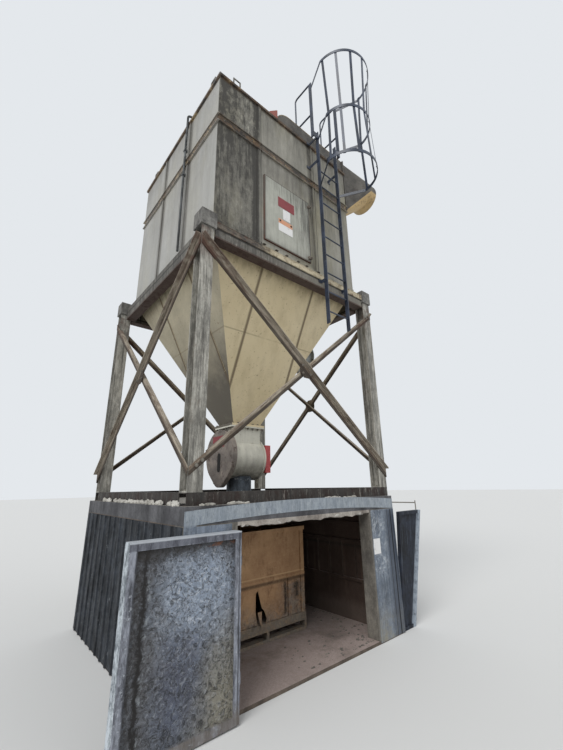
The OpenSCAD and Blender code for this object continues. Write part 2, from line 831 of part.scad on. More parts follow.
module airlock() {
    neck_z = outlet_z - out_flange - lock_z;
    color(cream_c)
        translate([outlet_x, outlet_y, lock_z]) {
            rotate([0, 90, 0]) {
                cylinder(d = lock_d, h = lock_l, center = true);
                for (s = [-1, 1]) translate([0, 0, s * (lock_l / 2 - lock_end / 2)])
                    cylinder(d = lock_d + 2 * lock_lip, h = lock_end, center = true);
                translate([0, 0, lock_l / 2]) cylinder(d = bearing_d, h = bearing_l);
            }
            translate([-outlet_w / 2, -outlet_d / 2, 0]) cube([outlet_w, outlet_d, neck_z]);
            translate([0, 0, neck_z - lock_flange]) linear_extrude(lock_flange)
                square([outlet_w + 2 * flange_w, outlet_d + 2 * flange_w], center = true);
        }
}

// The guard over the drive chain: a box with two round lobes, bolted to the drum's end flange
module chain_guard() {
    r1 = guard_d1 / 2;
    r2 = guard_d2 / 2;
    color(beige_c)
        translate([outlet_x - lock_l / 2 - seat - guard_t, outlet_y, lock_z])
            rotate([90, 0, 90]) linear_extrude(guard_t) hull() {
                translate([0, guard_h / 2 - r1]) circle(r1);
                translate([0, -guard_h / 2 + r2]) circle(r2);
            }
}

// The red guard over the free end of the rotor's shaft
module tail_guard() {
    x0 = outlet_x + lock_l / 2 + bearing_l + seat;
    tail_t = 90;
    color(red_c)
        translate([x0, outlet_y - tail_s / 2, lock_z - tail_s / 2]) cube([tail_t, tail_s, tail_s]);
}

// The spout from the drum to the hole in the deck, shaped to the drum and clear of its flanges
spout_t = 6;

module discharge_spout() {
    lap = 30;
    h = lock_z - lock_d / 2 + lap - bunker_h;
    foot_t = 14;
    color(galv_c)
        translate([outlet_x, outlet_y, bunker_h])
            difference() {
                union() {
                    cylinder(d = spout_d, h = h);
                    cylinder(d = spout_d + 2 * flange_w, h = foot_t);
                }
                translate([0, 0, -1]) cylinder(d = spout_d - 2 * spout_t, h = h + 2);
                translate([0, 0, lock_z - bunker_h]) rotate([0, 90, 0])
                    cylinder(d = lock_d + 2 * seat, h = lock_l, center = true);
            }
}

// One wall of the housing, with its outer face at y = 0, ribs at the places given,
// and bands that run on by wrap past each end
lip_h = 40;
angle_t = 12;
band_t = 8;

module wall_panel(w, wrap, ribs) {
    b = w + 2 * wrap;
    linear_extrude(housing_h - skin_t) translate([-w / 2, 0]) square([w, skin_t]);
    translate([-w / 2, -rib_out, 0]) cube([w, rib_out, skirt_h]);
    translate([-b / 2, -band_out, band_z]) cube([b, band_out, angle_t]);
    translate([-b / 2, -band_out, band_z + band_h - angle_t]) cube([b, band_out, angle_t]);
    translate([-w / 2, -band_t, band_z]) cube([w, band_t, band_h]);
    translate([-b / 2, -band_out, housing_h - skin_t - lip_h]) cube([b, band_out, lip_h]);
    for (x = ribs) {
        translate([x - rib_w / 2, -rib_out, skirt_h]) cube([rib_w, rib_out, band_z - skirt_h]);
        translate([x - rib_w / 2, -rib_out, band_z + band_h])
            cube([rib_w, rib_out, housing_h - skin_t - lip_h - band_z - band_h]);
    }
}

module housing_front() {
    color(beige_c) translate([0, -hy, ring_top]) wall_panel(housing_w, 0, [rib_x1, rib_x2]);
}
module housing_rear() {
    color(beige_c) translate([0, hy, ring_top]) rotate(180) wall_panel(housing_w, 0, [-rib_y, rib_y]);
}
module housing_left() {
    color(cream_c) translate([-hx, 0, ring_top]) rotate(-90)
        wall_panel(housing_d - 2 * skin_t, skin_t + band_out, [-rib_y, rib_y]);
}
module housing_right() {
    color(cream_c) translate([hx, 0, ring_top]) rotate(90)
        wall_panel(housing_d - 2 * skin_t, skin_t + band_out, [-rib_y, rib_y]);
}

// A lifting lug: a flat bar bent to a loop, on the edge of the roof
lug_w = 124;
lug_h = 135;
lug_bar = 18;
lug_t = 12;

module lug(x, y, a) {
    translate([x, y, roof_z]) rotate(a) translate([0, -lug_t / 2, 0]) upright(lug_t) difference() {
        translate([-lug_w / 2, 0]) square([lug_w, lug_h]);
        translate([-lug_w / 2 + lug_bar, -1]) square([lug_w - 2 * lug_bar, lug_h - lug_bar + 1]);
    }
}

module housing_roof() {
    edge = lug_t;
    from_left = 272;
    from_front = 225;
    from_rear = 330;
    color(beige_c) {
        block([-hx, -hy, roof_z - skin_t], [hx, hy, roof_z]);
        for (s = [-1, 1]) lug(-hx + from_left, s * (hy - edge), 0);
        lug(-hx + edge, -hy + from_front, 90);
        for (s = [-1, 1]) lug(s * (hx - edge), hy - from_rear, 90);
    }
}

module access_door() {
    color(beige_c)
        translate([rib_x1 + access_x, -hy - access_t, ring_top + skirt_h + access_z])
            cube([access_w, access_t, access_h]);
}

// The plenum hood on the roof, with a round left end
module roof_hood() {
    back = 30;
    color(galv_c)
        translate([0, -hy + back, roof_z]) upright(trans_d - back) {
            translate([hood_x0 + hood_h, 0]) intersection() {
                circle(hood_h, $fn = 64);
                translate([-hood_h, 0]) square(hood_h);
            }
            translate([hood_x0 + hood_h - 1, 0]) square([hx + band_out - hood_x0 - hood_h + 1, hood_h]);
        }
}

// The small box with a sloping front at the hood's left end
module roof_box() {
    w = 155;
    h = 205;
    d = 140;
    low = 60;
    color(red_c)
        translate([hood_x0 - seat - w, -hy + chan_t, roof_z])
            upright(d) polygon([[0, 0], [w, 0], [w, h], [w - chan_t, h], [0, low]]);
}

// The plate on the hood's right end, the square to round transition and the collar
module outlet_transition() {
    x0 = hx + band_out + seat;
    color(galv_c) {
        translate([x0, trans_y0, trans_z0]) cube([trans_plate, trans_d, trans_h]);
        hull() {
            translate([x0 + trans_plate, trans_y0 + trans_inset, trans_z0 + trans_inset])
                cube([1, trans_d - 2 * trans_inset, trans_h - 2 * trans_inset]);
            translate([x0 + trans_l, collar_y, collar_z]) rotate([0, 90, 0])
                cylinder(d = collar_d, h = 1, $fn = 32);
        }
        translate([x0 + trans_l, collar_y, collar_z]) rotate([0, 90, 0]) difference() {
            cylinder(d = collar_d, h = collar_l);
            translate([0, 0, collar_stop]) cylinder(d = collar_d - 2 * collar_t, h = collar_l);
        }
    }
}

// The conduit up the left side, with saddles on the rib and a gooseneck over the roof's edge
module conduit() {
    bend = 60;
    saddle_w = 12;
    saddle_h = 30;
    start = 200;
    saddle_low = 190;
    saddle_high = 130;
    x = -hx - band_out - seat - conduit_d / 2;
    color(galv_c) translate([x, conduit_y, 0]) {
        translate([0, 0, ring_top + start]) cylinder(d = conduit_d, h = housing_h - start + bend);
        translate([bend, 0, roof_z + bend]) rotate([90, 0, 0])
            rotate_extrude(angle = 180) translate([bend, 0]) circle(d = conduit_d);
        translate([2 * bend, 0, roof_z]) cylinder(d = conduit_d, h = bend);
        for (z = [band_z - saddle_low, band_z + band_h + saddle_high])
            translate([-conduit_d / 2 - saddle_w / 2, -(conduit_d + saddle_w) / 2, ring_top + z])
                cube([conduit_d + band_out - rib_out + saddle_w / 2, conduit_d + saddle_w, saddle_h]);
    }
}

module ladder() {
    color(navy_c) translate([ladder_x, rail_y, 0]) {
        for (s = [-1, 1]) {
            translate([s * rail_x - rail_t / 2, -rail_d / 2, rail_z0])
                cube([rail_t, rail_d, rail_z1 - rail_z0]);
            translate([s * walk_x - rail_t / 2, -rail_d / 2, walk_z0])
                cube([rail_t, rail_d, walk_z1 - walk_z0]);
            translate([min(s * rail_x, s * walk_x), -rail_d / 2, walk_z0])
                cube([walk_x - rail_x, rail_t, splice]);
        }
        for (i = [0 : rung_n - 1])
            translate([-ladder_w / 2, 0, rung_z + i * rung_step]) rotate([0, 90, 0])
                cylinder(d = rung_d, h = ladder_w, $fn = 16);
    }
}

// A stand-off from the outer side of a rail to the face that it is bolted to
bracket_t = 8;
bracket_w = 50;
bracket_foot = 60;

module standoff(s, z, face_y) {
    side = ladder_x + s * (rail_x + rail_t / 2 + seat);
    lap = rail_d / 4;
    translate([s < 0 ? side - bracket_t : side, rail_y - lap, z])
        cube([bracket_t, face_y - rail_y + lap - seat, bracket_w]);
    translate([s < 0 ? side - bracket_foot : side, face_y - bracket_t - seat, z])
        cube([bracket_foot, bracket_t, bracket_w]);
}

module ladder_brackets() {
    above_band = 220;
    color(navy_c)
        for (s = [-1, 1]) {
            standoff(s, ring_z + (ring_h - bracket_w) / 2, -ring_face_y);
            standoff(s, ring_top + band_z + band_h + above_band, -hy);
            standoff(s, roof_z - skin_t - bracket_w + (bracket_w - lip_h) / 2, -hy - band_out);
        }
}

// The loops of round bar behind the tops of the walk-through rails
module grab_rails() {
    reach = 330;
    drop = 690;
    bend = 2.2 * grab_d;
    color(navy_c)
        for (s = [-1, 1])
            translate([ladder_x + s * walk_x, rail_y + rail_d / 2 + seat, walk_z1 - grab_d / 2]) {
                for (z = [-drop, 0]) translate([0, 0, z]) rotate([-90, 0, 0])
                    cylinder(d = grab_d, h = reach - bend);
                translate([0, reach, -drop + bend]) cylinder(d = grab_d, h = drop - 2 * bend);
                translate([0, reach - bend, -bend]) rotate([90, 0, 90])
                    rotate_extrude(angle = 90) translate([bend, 0]) circle(d = grab_d);
                translate([0, reach - bend, -drop + bend]) rotate([90, 0, 90]) rotate(-90)
                    rotate_extrude(angle = 90) translate([bend, 0]) circle(d = grab_d);
            }
}

// One hoop: a half circle, and two straight ends that close in on the rails at x = c
module hoop(r, c) {
    translate([ladder_x, cage_y, 0]) linear_extrude(hoop_w) {
        difference() {
            circle(r, $fn = 96);
            circle(r - hoop_t, $fn = 96);
            translate([-r, 0]) square([2 * r, r]);
        }
        for (s = [-1, 1])
            polygon([[s * r, -1], [s * (r - hoop_t), -1], [s * (c - hoop_t / 2), cage_deep - seat],
                [s * (c + hoop_t / 2), cage_deep - seat]]);
    }
}

// Radius of a flat cage bar's outer face inside a hoop of radius r
function bar_seat(r) = sqrt(pow(r - hoop_t - seat, 2) - pow(bar_w / 2, 2));

module cage_top_hoop() {
    color(navy_c) translate([0, 0, roof_z + hoop_top_z]) hoop(hoop_top_r, walk_x);
}

module cage_middle_hoop() {
    color(navy_c) translate([0, 0, roof_z + hoop_mid_z]) hoop(hoop_mid_r, rail_x);
}

module cage_bottom_hoop() {
    color(navy_c) translate([0, 0, roof_z + hoop_low_z]) hoop(hoop_low_r, rail_x);
}

module cage_bars() {
    r1 = bar_seat(hoop_low_r);
    r2 = bar_seat(hoop_mid_r);
    r3 = bar_seat(hoop_top_r);
    z2 = hoop_mid_z - hoop_low_z;
    z3 = hoop_top_z - hoop_low_z;
    color(navy_c) translate([ladder_x, cage_y, roof_z + hoop_low_z])
        for (i = [0 : bar_n - 1])
            rotate(bar_from + i * (540 - 2 * bar_from) / (bar_n - 1))
                translate([0, -bar_w / 2, 0]) upright(bar_w)
                polygon([[r1, 0], [r1, hoop_w], [r2, z2], [r2, z2 + hoop_w], [r3, z3],
                    [r3, z3 + hoop_w], [r3 - hoop_t, z3 + hoop_w], [r3 - hoop_t, z3],
                    [r2 - hoop_t, z2 + hoop_w], [r2 - hoop_t, z2], [r1 - hoop_t, hoop_w],
                    [r1 - hoop_t, 0]]);
}

floor_slab();
left_wall();
right_wall();
rear_wall();
left_jamb();
right_jamb();
deck_slab();
lintel();
lintel_sheet();
jamb_sheet();
side_sheet();
left_door();
door_hinges();
wing_panel();
hook_rod();
dust_bin();
base_front();
base_rear();
base_left();
base_right();
leg_front_left();
leg_front_right();
leg_rear_left();
leg_rear_right();
ring_front();
ring_rear();
ring_left();
ring_right();
front_brace_a();
front_brace_b();
rear_brace_a();
rear_brace_b();
left_brace_a();
left_brace_b();
right_brace_a();
right_brace_b();
hopper();
inlet_stub();
airlock();
chain_guard();
tail_guard();
discharge_spout();
housing_front();
housing_rear();
housing_left();
housing_right();
housing_roof();
access_door();
roof_hood();
roof_box();
outlet_transition();
conduit();
ladder();
ladder_brackets();
grab_rails();
cage_top_hoop();
cage_middle_hoop();
cage_bottom_hoop();
cage_bars();
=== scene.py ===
import math
import random
from functools import reduce

import bmesh
import bpy
from mathutils import Matrix, Vector, noise


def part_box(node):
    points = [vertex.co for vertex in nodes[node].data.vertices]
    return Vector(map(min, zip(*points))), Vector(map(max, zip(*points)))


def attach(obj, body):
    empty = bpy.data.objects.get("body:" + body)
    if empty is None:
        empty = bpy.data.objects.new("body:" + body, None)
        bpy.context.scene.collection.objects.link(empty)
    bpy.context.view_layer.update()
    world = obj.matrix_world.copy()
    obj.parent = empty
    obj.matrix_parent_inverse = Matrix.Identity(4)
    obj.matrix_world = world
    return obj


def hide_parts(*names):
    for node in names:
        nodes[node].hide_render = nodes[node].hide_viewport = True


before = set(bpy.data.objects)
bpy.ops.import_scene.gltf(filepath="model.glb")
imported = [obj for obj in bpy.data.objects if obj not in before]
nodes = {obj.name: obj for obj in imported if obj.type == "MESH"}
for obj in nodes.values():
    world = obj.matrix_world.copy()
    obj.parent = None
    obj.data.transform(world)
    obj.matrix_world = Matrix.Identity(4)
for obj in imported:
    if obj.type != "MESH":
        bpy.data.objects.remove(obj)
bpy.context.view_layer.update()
PLANT = "plant"


def span(node):
    """A CAD node's box as two lists, low and high, in metres."""
    low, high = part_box(node)
    return list(low), list(high)


# Places read from the frame
hx = -span("housing_front")[0][0]
hy = -span("housing_roof")[0][1]
roof_z = span("housing_roof")[1][2] - 0.135
ring_top = span("housing_front")[0][2]
band_z = ring_top + 1.745
deck_z = span("base_front")[0][2]
leaf_low, leaf_high = span("left_door")

# Middles of the raised ribs and seams, from the part's middle
FRONT_RIBS = (-0.622, 0.446)
SIDE_RIBS = (-0.433, 0.433)
HOPPER_SEAMS = (-0.465, 0.465)
CORNERS = ((-1, -1), (-1, 1), (1, -1), (1, 1))

# Camera: where the photograph was taken from
CAMERA_PLACE = Vector((-2.9158, -4.3594, 1.710))
CAMERA_YAW = 40.752
CAMERA_PITCH = 17.37
CAMERA_ROLL = -1.1024
CAMERA_LENS = 17.015


def make_camera():
    yaw, pitch, roll = (math.radians(a) for a in (CAMERA_YAW, CAMERA_PITCH, CAMERA_ROLL))
    ahead = Vector((math.sin(yaw) * math.cos(pitch), math.cos(yaw) * math.cos(pitch), math.sin(pitch)))
    right = Vector((math.cos(yaw), -math.sin(yaw), 0))
    up = right.cross(ahead)
    right, up = (right * math.cos(roll) + up * math.sin(roll),
                 up * math.cos(roll) - right * math.sin(roll))
    data = bpy.data.cameras.new("camera")
    data.lens = CAMERA_LENS
    data.sensor_width = 36
    data.clip_end = 200
    camera = bpy.data.objects.new("camera", data)
    camera.matrix_world = Matrix.Translation(CAMERA_PLACE) @ Matrix((right, up, -ahead)).transposed().to_4x4()
    bpy.context.scene.collection.objects.link(camera)
    bpy.context.scene.camera = camera


def srgb(text):
    """A hex colour as linear RGBA."""
    parts = [int(text[i:i + 2], 16) / 255 for i in (1, 3, 5)]
    return [c / 12.92 if c < 0.04045 else ((c + 0.055) / 1.055) ** 2.4 for c in parts] + [1.0]


class Shader:
    """A material in the making. Its methods take and give sockets, so a recipe reads in order."""

    def __init__(self, name, metallic=0.0, rough=0.6):
        self.material = bpy.data.materials.new(name)
        self.material.use_nodes = True
        self.tree = self.material.node_tree
        self.surface = self.tree.nodes["Principled BSDF"]
        self.surface.inputs["Metallic"].default_value = metallic
        self.surface.inputs["Roughness"].default_value = rough
        self.place = self.node("TexCoord").outputs["Object"]
        self.x, self.y, self.z = self.node("SeparateXYZ", self.place).outputs
        facing = self.node("NewGeometry").outputs["True Normal"]
        self.facing_x, self.facing_y, self.facing_z = self.node("SeparateXYZ", facing).outputs

    def put(self, socket, value):
        """Links value to the socket if it is one itself, and sets it otherwise."""
        if isinstance(value, bpy.types.NodeSocket):
            self.tree.links.new(value, socket)
        else:
            socket.default_value = value

    def node(self, kind, *first, **named):
        """A new node, with its first inputs given in order and others by name."""
        made = self.tree.nodes.new("ShaderNode" + kind)
        for socket, value in zip(made.inputs, first):
            self.put(socket, value)
        for name, value in named.items():
            self.put(made.inputs[name], value)
        return made

    def sum(self, kind, a, b=0.0):
        """One step of arithmetic, with no clamp."""
        step = self.node("Math", a, b)
        step.operation = kind
        return step.outputs[0]

    def times(self, *values):
        return reduce(lambda a, b: self.sum("MULTIPLY", a, b), values)

    def plus(self, *values):
        return reduce(lambda a, b: self.sum("ADD", a, b), values)

    def most(self, *values):
        return reduce(lambda a, b: self.sum("MAXIMUM", a, b), values)

    def least(self, a, b):
        return self.sum("MINIMUM", a, b)

    def minus(self, a, b):
        return self.sum("SUBTRACT", a, b)

    def more(self, value, part, amount):
        """value with some of part added."""
        return self.plus(value, self.times(part, amount))

    def ramp(self, value, low, high):
        """0 below low and 1 above high. With low above high it falls instead."""
        return self.node("MapRange", value, low, high).outputs["Result"]

    def near(self, value, centre, width):
        """1 at centre, and 0 at width away from it."""
        return self.ramp(self.sum("ABSOLUTE", self.minus(value, centre)), width, width * 0.3)

    def within(self, value, low, high, soft):
        """1 between low and high, falling to 0 over soft."""
        return self.times(self.ramp(value, low - soft, low), self.ramp(value, high + soft, high))

    def texture(self, kind, scale, stretch=(1, 1, 1), seed=0.0, place=None):
        """A texture over the object's metres, or over place, stretched and moved aside by seed."""
        moved = (seed, seed * 0.7, seed * 1.3)
        spread = self.node("Mapping", Vector=place or self.place, Location=moved, Scale=stretch)
        return self.node(kind, Vector=spread.outputs[0], Scale=scale)

    def noise(self, scale, stretch=(1, 1, 1), detail=10, rough=0.78, seed=0.0, twist=0.0, place=None):
        step = self.texture("TexNoise", scale, stretch, seed, place)
        for name, value in (("Detail", detail), ("Roughness", rough), ("Distortion", twist)):
            step.inputs[name].default_value = value
        return step.outputs["Fac"]

    def patches(self, low, high, scale, **look):
        """Noise cut into patches: 0 where it is below low, and 1 where it is above high."""
        return self.ramp(self.noise(scale, **look), low, high)

    def runs(self, low, high, fine, long, **look):
        """Patches drawn out along Z, like dirt that water has carried down."""
        return self.patches(low, high, 1.0, stretch=(fine, fine, long), **look)

    def cells(self, scale):
        """The distance from the middles of scattered cells."""
        return self.texture("TexVoronoi", scale).outputs["Distance"]

    def mix(self, amount, a, b):
        """Colour a where amount is 0, and b where it is 1."""
        step = self.tree.nodes.new("ShaderNodeMix")
        step.data_type = "RGBA"
        self.put(step.inputs["Factor"], amount)
        self.put(step.inputs["A"], srgb(a) if isinstance(a, str) else a)
        self.put(step.inputs["B"], srgb(b) if isinstance(b, str) else b)
        return step.outputs["Result"]

    def over(self, colour, coat, where, strength):
        """colour with a coat laid over it where the mask says, no thicker than strength."""
        return self.mix(self.times(where, strength), colour, coat)

    def finish(self, colour, rough=None, height=None, strength=0.3, depth=0.002):
        """The finished material, with its colour, and its roughness and relief where they are given."""
        self.put(self.surface.inputs["Base Color"], colour)
        if rough is not None:
            self.put(self.surface.inputs["Roughness"], rough)
        if height is not None:
            relief = self.node("Bump", Strength=strength, Distance=depth, Height=height)
            self.tree.links.new(relief.outputs[0], self.surface.inputs["Normal"])
        return self.material


def painted_wall(name, base, pale, grime, amount, ribs, along, dark_bay=0.0, rib_line=0.7):
    """Old paint on the housing: mottled mildew, fine runs below each ledge, dark lines beside the ribs that
    are grime with painted shade of the raised ribs, and worn paint mixed with painted shade and painted
    highlight on the cap lip and band.
    """
    s = Shader(name, rough=0.74)
    across = s.x if along == "x" else s.y
    colour = s.mix(s.patches(0.35, 0.68, 1.1, detail=6, rough=0.6, seed=2), base, pale)
    tan = s.patches(0.46, 0.66, 1.7, stretch=(1, 1, 0.4), detail=8, rough=0.7, seed=40)
    colour = s.over(colour, "#a49c78", tan, 0.45 if dark_bay else 0.2)
    mottle = s.patches(0.36, 0.64, 11, stretch=(1, 1, 0.5), detail=12, rough=0.82, seed=12)
    fine = s.runs(0.34, 0.70, 32, 1.5, detail=9, seed=9)
    broad = s.runs(0.38, 0.68, 3.4, 0.5, detail=9, rough=0.72, seed=5)
    below_cap = s.ramp(s.z, roof_z - 1.0, roof_z - 0.05)
    below_band = s.times(s.ramp(s.z, ring_top + 0.3, band_z - 0.045),
                         s.ramp(s.z, band_z - 0.025, band_z - 0.085))
    by_skirt = s.times(s.ramp(s.z, ring_top + 0.6, ring_top + 0.12), 0.5)
    reach = s.most(below_cap, below_band, by_skirt)
    dirt = s.times(s.plus(s.times(broad, 0.6), s.times(fine, 0.42)), s.plus(s.times(reach, 0.7), 0.25))
    dirt = s.more(dirt, mottle, 0.2)
    if dark_bay:
        bay = s.ramp(across, ribs[0] + 0.02, ribs[0] - 0.02)
        veil = s.plus(s.times(mottle, 0.32), s.times(fine, 0.22))
        dirt = s.more(dirt, bay, s.plus(veil, dark_bay))
        edge = s.times(s.ramp(across, -hx + 0.20, -hx + 0.01), s.plus(s.times(broad, 0.4), 0.15))
        dirt = s.plus(dirt, edge)
        above = s.times(bay, s.ramp(s.z, band_z + 0.055, band_z + 0.075))
        patch = s.runs(0.47, 0.66, 9, 4, detail=12, rough=0.8, seed=49)
        speckle = s.minus(s.times(mottle, 0.36), s.times(patch, 0.42))
        speckle = s.minus(speckle, s.times(s.ramp(across, -hx + 0.10, -hx + 0.35), 0.24))
        dirt = s.more(dirt, above, speckle)
    dirt = s.times(dirt, amount)
    # Dark lines beside each rib: grime runs, with painted shade beside the raised rib.
    for rib in ribs:
        beside = s.times(s.near(across, rib - 0.045, 0.075), s.plus(s.times(fine, 0.3), 0.45))
        dirt = s.more(dirt, beside, rib_line)
        line = rib_line * (1.4 if dark_bay and rib > 0 else 0.8)
        dirt = s.more(dirt, s.near(across, rib + 0.034, 0.016), line)
    colour = s.mix(s.least(dirt, 0.92), colour, grime)
    pale_spot = s.patches(0.58, 0.68, 24, stretch=(1, 1, 0.5), detail=9, rough=0.8, seed=19)
    colour = s.over(colour, "#b9b7ab", pale_spot, 0.28)
    # Cap lip and band: worn paint mixed with painted shade and painted highlight.
    ledge = s.most(s.near(s.z, roof_z - 0.045, 0.06), s.near(s.z, band_z, 0.09))
    worn = s.noise(1.0, stretch=(5, 5, 9), seed=21)
    shift = 0.04 if dark_bay else 0.0
    lip_shade_highlight_and_wear = s.mix(s.ramp(worn, 0.40 + shift, 0.50 + shift), "#2a2522", "#604c3a")
    lip_shade_highlight_and_wear = s.mix(s.ramp(worn, 0.53 + shift, 0.60 + shift), lip_shade_highlight_and_wear, "#a3906a")
    colour = s.over(colour, lip_shade_highlight_and_wear, ledge, 0.88)
    speck = s.patches(0.60, 0.70, 70, detail=3, rough=0.6, seed=31)
    colour = s.over(colour, "#4c4842", speck, 0.5)
    return s.finish(colour, s.ramp(dirt, -0.6, 0.5), s.noise(25, detail=8, rough=0.7), 0.35, 0.004)


def access_paint(name):
    """The access door's cooler, cleaner paint, with runs of mildew on its right and a rim of painted shade
    along its edges.
    """
    s = Shader(name, rough=0.68)
    low, high = span("access_door")
    colour = s.mix(s.patches(0.35, 0.65, 1.8, detail=8, rough=0.7, seed=4), "#9c9d93", "#b0b0a5")
    runs = s.runs(0.40, 0.64, 16, 1.1, detail=9, rough=0.75, seed=11)
    right = s.times(s.ramp(s.x, -0.15, 0.15), s.ramp(s.z, ring_top + 0.2, ring_top + 0.7))
    thin = s.runs(0.45, 0.72, 40, 1.5, detail=8, rough=0.7, seed=7)
    mottle = s.patches(0.42, 0.62, 16, stretch=(1, 1, 0.5), rough=0.8, seed=15)
    dirt = s.plus(s.times(runs, right, 0.95), s.times(thin, 0.30))
    dirt = s.plus(dirt, s.times(thin, s.ramp(s.z, high[2] - 0.5, high[2]), 0.45))
    dirt = s.more(dirt, mottle, 0.15)
    dirt = s.more(dirt, s.ramp(s.x, high[0] - 0.14, high[0] - 0.01), 0.3)
    dirt = s.more(dirt, s.ramp(s.z, low[2] + 0.12, low[2]), 0.3)
    colour = s.mix(s.least(dirt, 0.9), colour, "#4b4a44")
    # Painted shade: a dark brown rim along the door's edges stands in for the shadow in the gap round it.
    rim = s.most(s.near(s.x, low[0], 0.03), s.near(s.z, low[2], 0.03))
    rim = s.most(rim, s.most(s.near(s.z, high[2], 0.016), s.near(s.x, high[0], 0.018)))
    colour = s.over(colour, "#3c2e25", rim, 0.85)
    side = s.ramp(s.facing_y, -0.7, -0.3)
    colour = s.over(colour, "#5a3524", side, s.patches(0.35, 0.55, 6, detail=8, rough=0.6, seed=22))
    return s.finish(colour, None, s.noise(20, detail=8, rough=0.7), 0.3, 0.003)


def airlock_paint(name):
    """The airlock's cream paint: faint runs, rust specks, and grime towards its foot."""
    s = Shader(name, rough=0.62)
    grime = "#3c3a36"
    colour = s.mix(s.patches(0.3, 0.7, 0.9, detail=5, rough=0.6, seed=4), "#bebcae", "#d2cfc2")
    runs = s.runs(0.5, 0.75, 7, 0.6, detail=7, rough=0.6, seed=8)
    colour = s.over(colour, grime, runs, 0.35)
    low = s.times(s.ramp(s.z, deck_z + 0.56, deck_z + 0.24),
                  s.patches(0.2, 0.55, 5, detail=8, rough=0.7, seed=3))
    colour = s.over(colour, grime, low, 0.95)
    speck = s.patches(0.63, 0.70, 42, detail=5, rough=0.6, seed=17)
    colour = s.over(colour, "#7a6248", speck, 0.6)
    return s.finish(colour, None, s.noise(18, detail=5, rough=0.6), 0.2, 0.003)


def hopper_paint(name):
    """The hopper: cream fronts with faint runs, and a left plate in a greyer tone of painted shade that grows
    darker towards its foot.
    """
    s = Shader(name, rough=0.6)
    colour = s.mix(s.patches(0.3, 0.7, 0.8, detail=6, rough=0.6, seed=4), "#d0bf98", "#dccdab")
    runs = s.runs(0.46, 0.72, 6, 0.5, detail=8, rough=0.65, seed=8)
    colour = s.over(colour, "#96835f", runs, 0.32)
    left = s.ramp(s.facing_x, -0.4, -0.7)
    # Painted shade: faces that look left take a greyer tone.
    colour = s.over(colour, "#c9c8ba", left, 0.4)
    # The left plate grows darker towards its foot.
    foot = s.plus(s.times(s.ramp(s.z, ring_top - 0.45, ring_top - 1.45), 0.8),
                  s.times(s.patches(0.35, 0.65, 2.6, detail=9, rough=0.7, seed=6), 0.25))
    darkening = s.least(s.times(left, foot), 0.9)
    colour = s.mix(darkening, colour, "#46413a")
    level = s.times(s.near(s.z, ring_top - 0.89, 0.012), s.patches(0.3, 0.5, 3, detail=5, rough=0.6, seed=5))
    colour = s.over(colour, "#6f6248", level, 0.45)
    # Dark bands along the seams: the joint's own line, with painted shadow beside the raised seam.
    for line in HOPPER_SEAMS:
        seam = s.most(s.times(s.near(s.x, line, 0.028), s.ramp(s.facing_y, -0.4, -0.7)),
                      s.times(s.near(s.y, line, 0.028), left))
        colour = s.over(colour, "#5f4f39", seam, 0.85)
    streaks = s.patches(0.4, 0.6, 4, stretch=(3, 3, 0.4), detail=7, rough=0.6, seed=9)
    top = s.times(s.ramp(s.z, ring_top - 0.30, ring_top - 0.15), streaks)
    colour = s.over(colour, "#7a684c", top, 0.4)
    speck = s.patches(0.62, 0.69, 36, detail=6, rough=0.6, seed=17)
    colour = s.over(colour, "#6b5540", speck, 0.6)
    dent = s.plus(s.noise(1.6, detail=2, rough=0.6, seed=3), s.times(s.noise(20, detail=5, rough=0.6), 0.08))
    return s.finish(colour, None, dent, 0.25, 0.03)


def rusty_steel(name, base, pale, rust, rust_low, joint_z=None, cap_z=None, grey_from=None):
    """Worn steel: streaked grey, scaly rust, darker rust near joint_z, and rough grey caps above cap_z."""
    s = Shader(name, rough=0.78)
    grain = s.noise(1.0, stretch=(15, 15, 2), detail=11, seed=6)
    colour = s.mix(s.ramp(grain, 0.42, 0.58), base, pale)
    lump = s.patches(0.44, 0.60, 14, stretch=(1, 1, 0.6), detail=12, rough=0.84, seed=36)
    colour = s.over(colour, "#35312c", lump, 0.42)
    scale = s.patches(rust_low, rust_low + 0.14, 6, stretch=(1, 1, 0.5), rough=0.76, seed=12)
    colour = s.over(colour, rust, scale, 0.75)
    if joint_z is not None:
        joint = s.times(s.near(s.z, joint_z, 0.34), s.patches(0.42, 0.56, 8, detail=8, rough=0.6, seed=20))
        colour = s.over(colour, "#4a2c20", joint, 0.6)
    if cap_z is not None:
        rough_cap = s.noise(9, detail=12, rough=0.8, seed=28)
        cap = s.mix(s.ramp(rough_cap, 0.38, 0.6), "#3f3d3a", "#7d7b76")
        colour = s.mix(s.ramp(s.z, cap_z - 0.02, cap_z), colour, cap)
    run = s.runs(0.50, 0.64, 26, 0.8, detail=9, rough=0.75, seed=18)
    colour = s.over(colour, "#2f2c28", run, 0.65)
    bare = s.runs(0.56, 0.66, 30, 5, detail=9, seed=43)
    colour = s.over(colour, "#bdb9af", bare, 0.45)
    if grey_from is not None:
        colour = s.over(colour, "#7f7b70", s.ramp(s.x, grey_from, grey_from + 0.9), 0.55)
        low, high = span("ring_front")
        foot = s.near(s.z, low[2] + 0.006, 0.022)
        colour = s.over(colour, "#3b241b", foot, 0.8)
        # Painted shade: a near-black line in the groove just under the ring's top ledge.
        groove_shade = s.near(s.z, high[2] - 0.082, 0.016)
        colour = s.over(colour, "#15120f", groove_shade, 0.85)
    return s.finish(colour, s.ramp(scale, -2.0, 0.6), s.noise(40, rough=0.8), 0.7, 0.006)


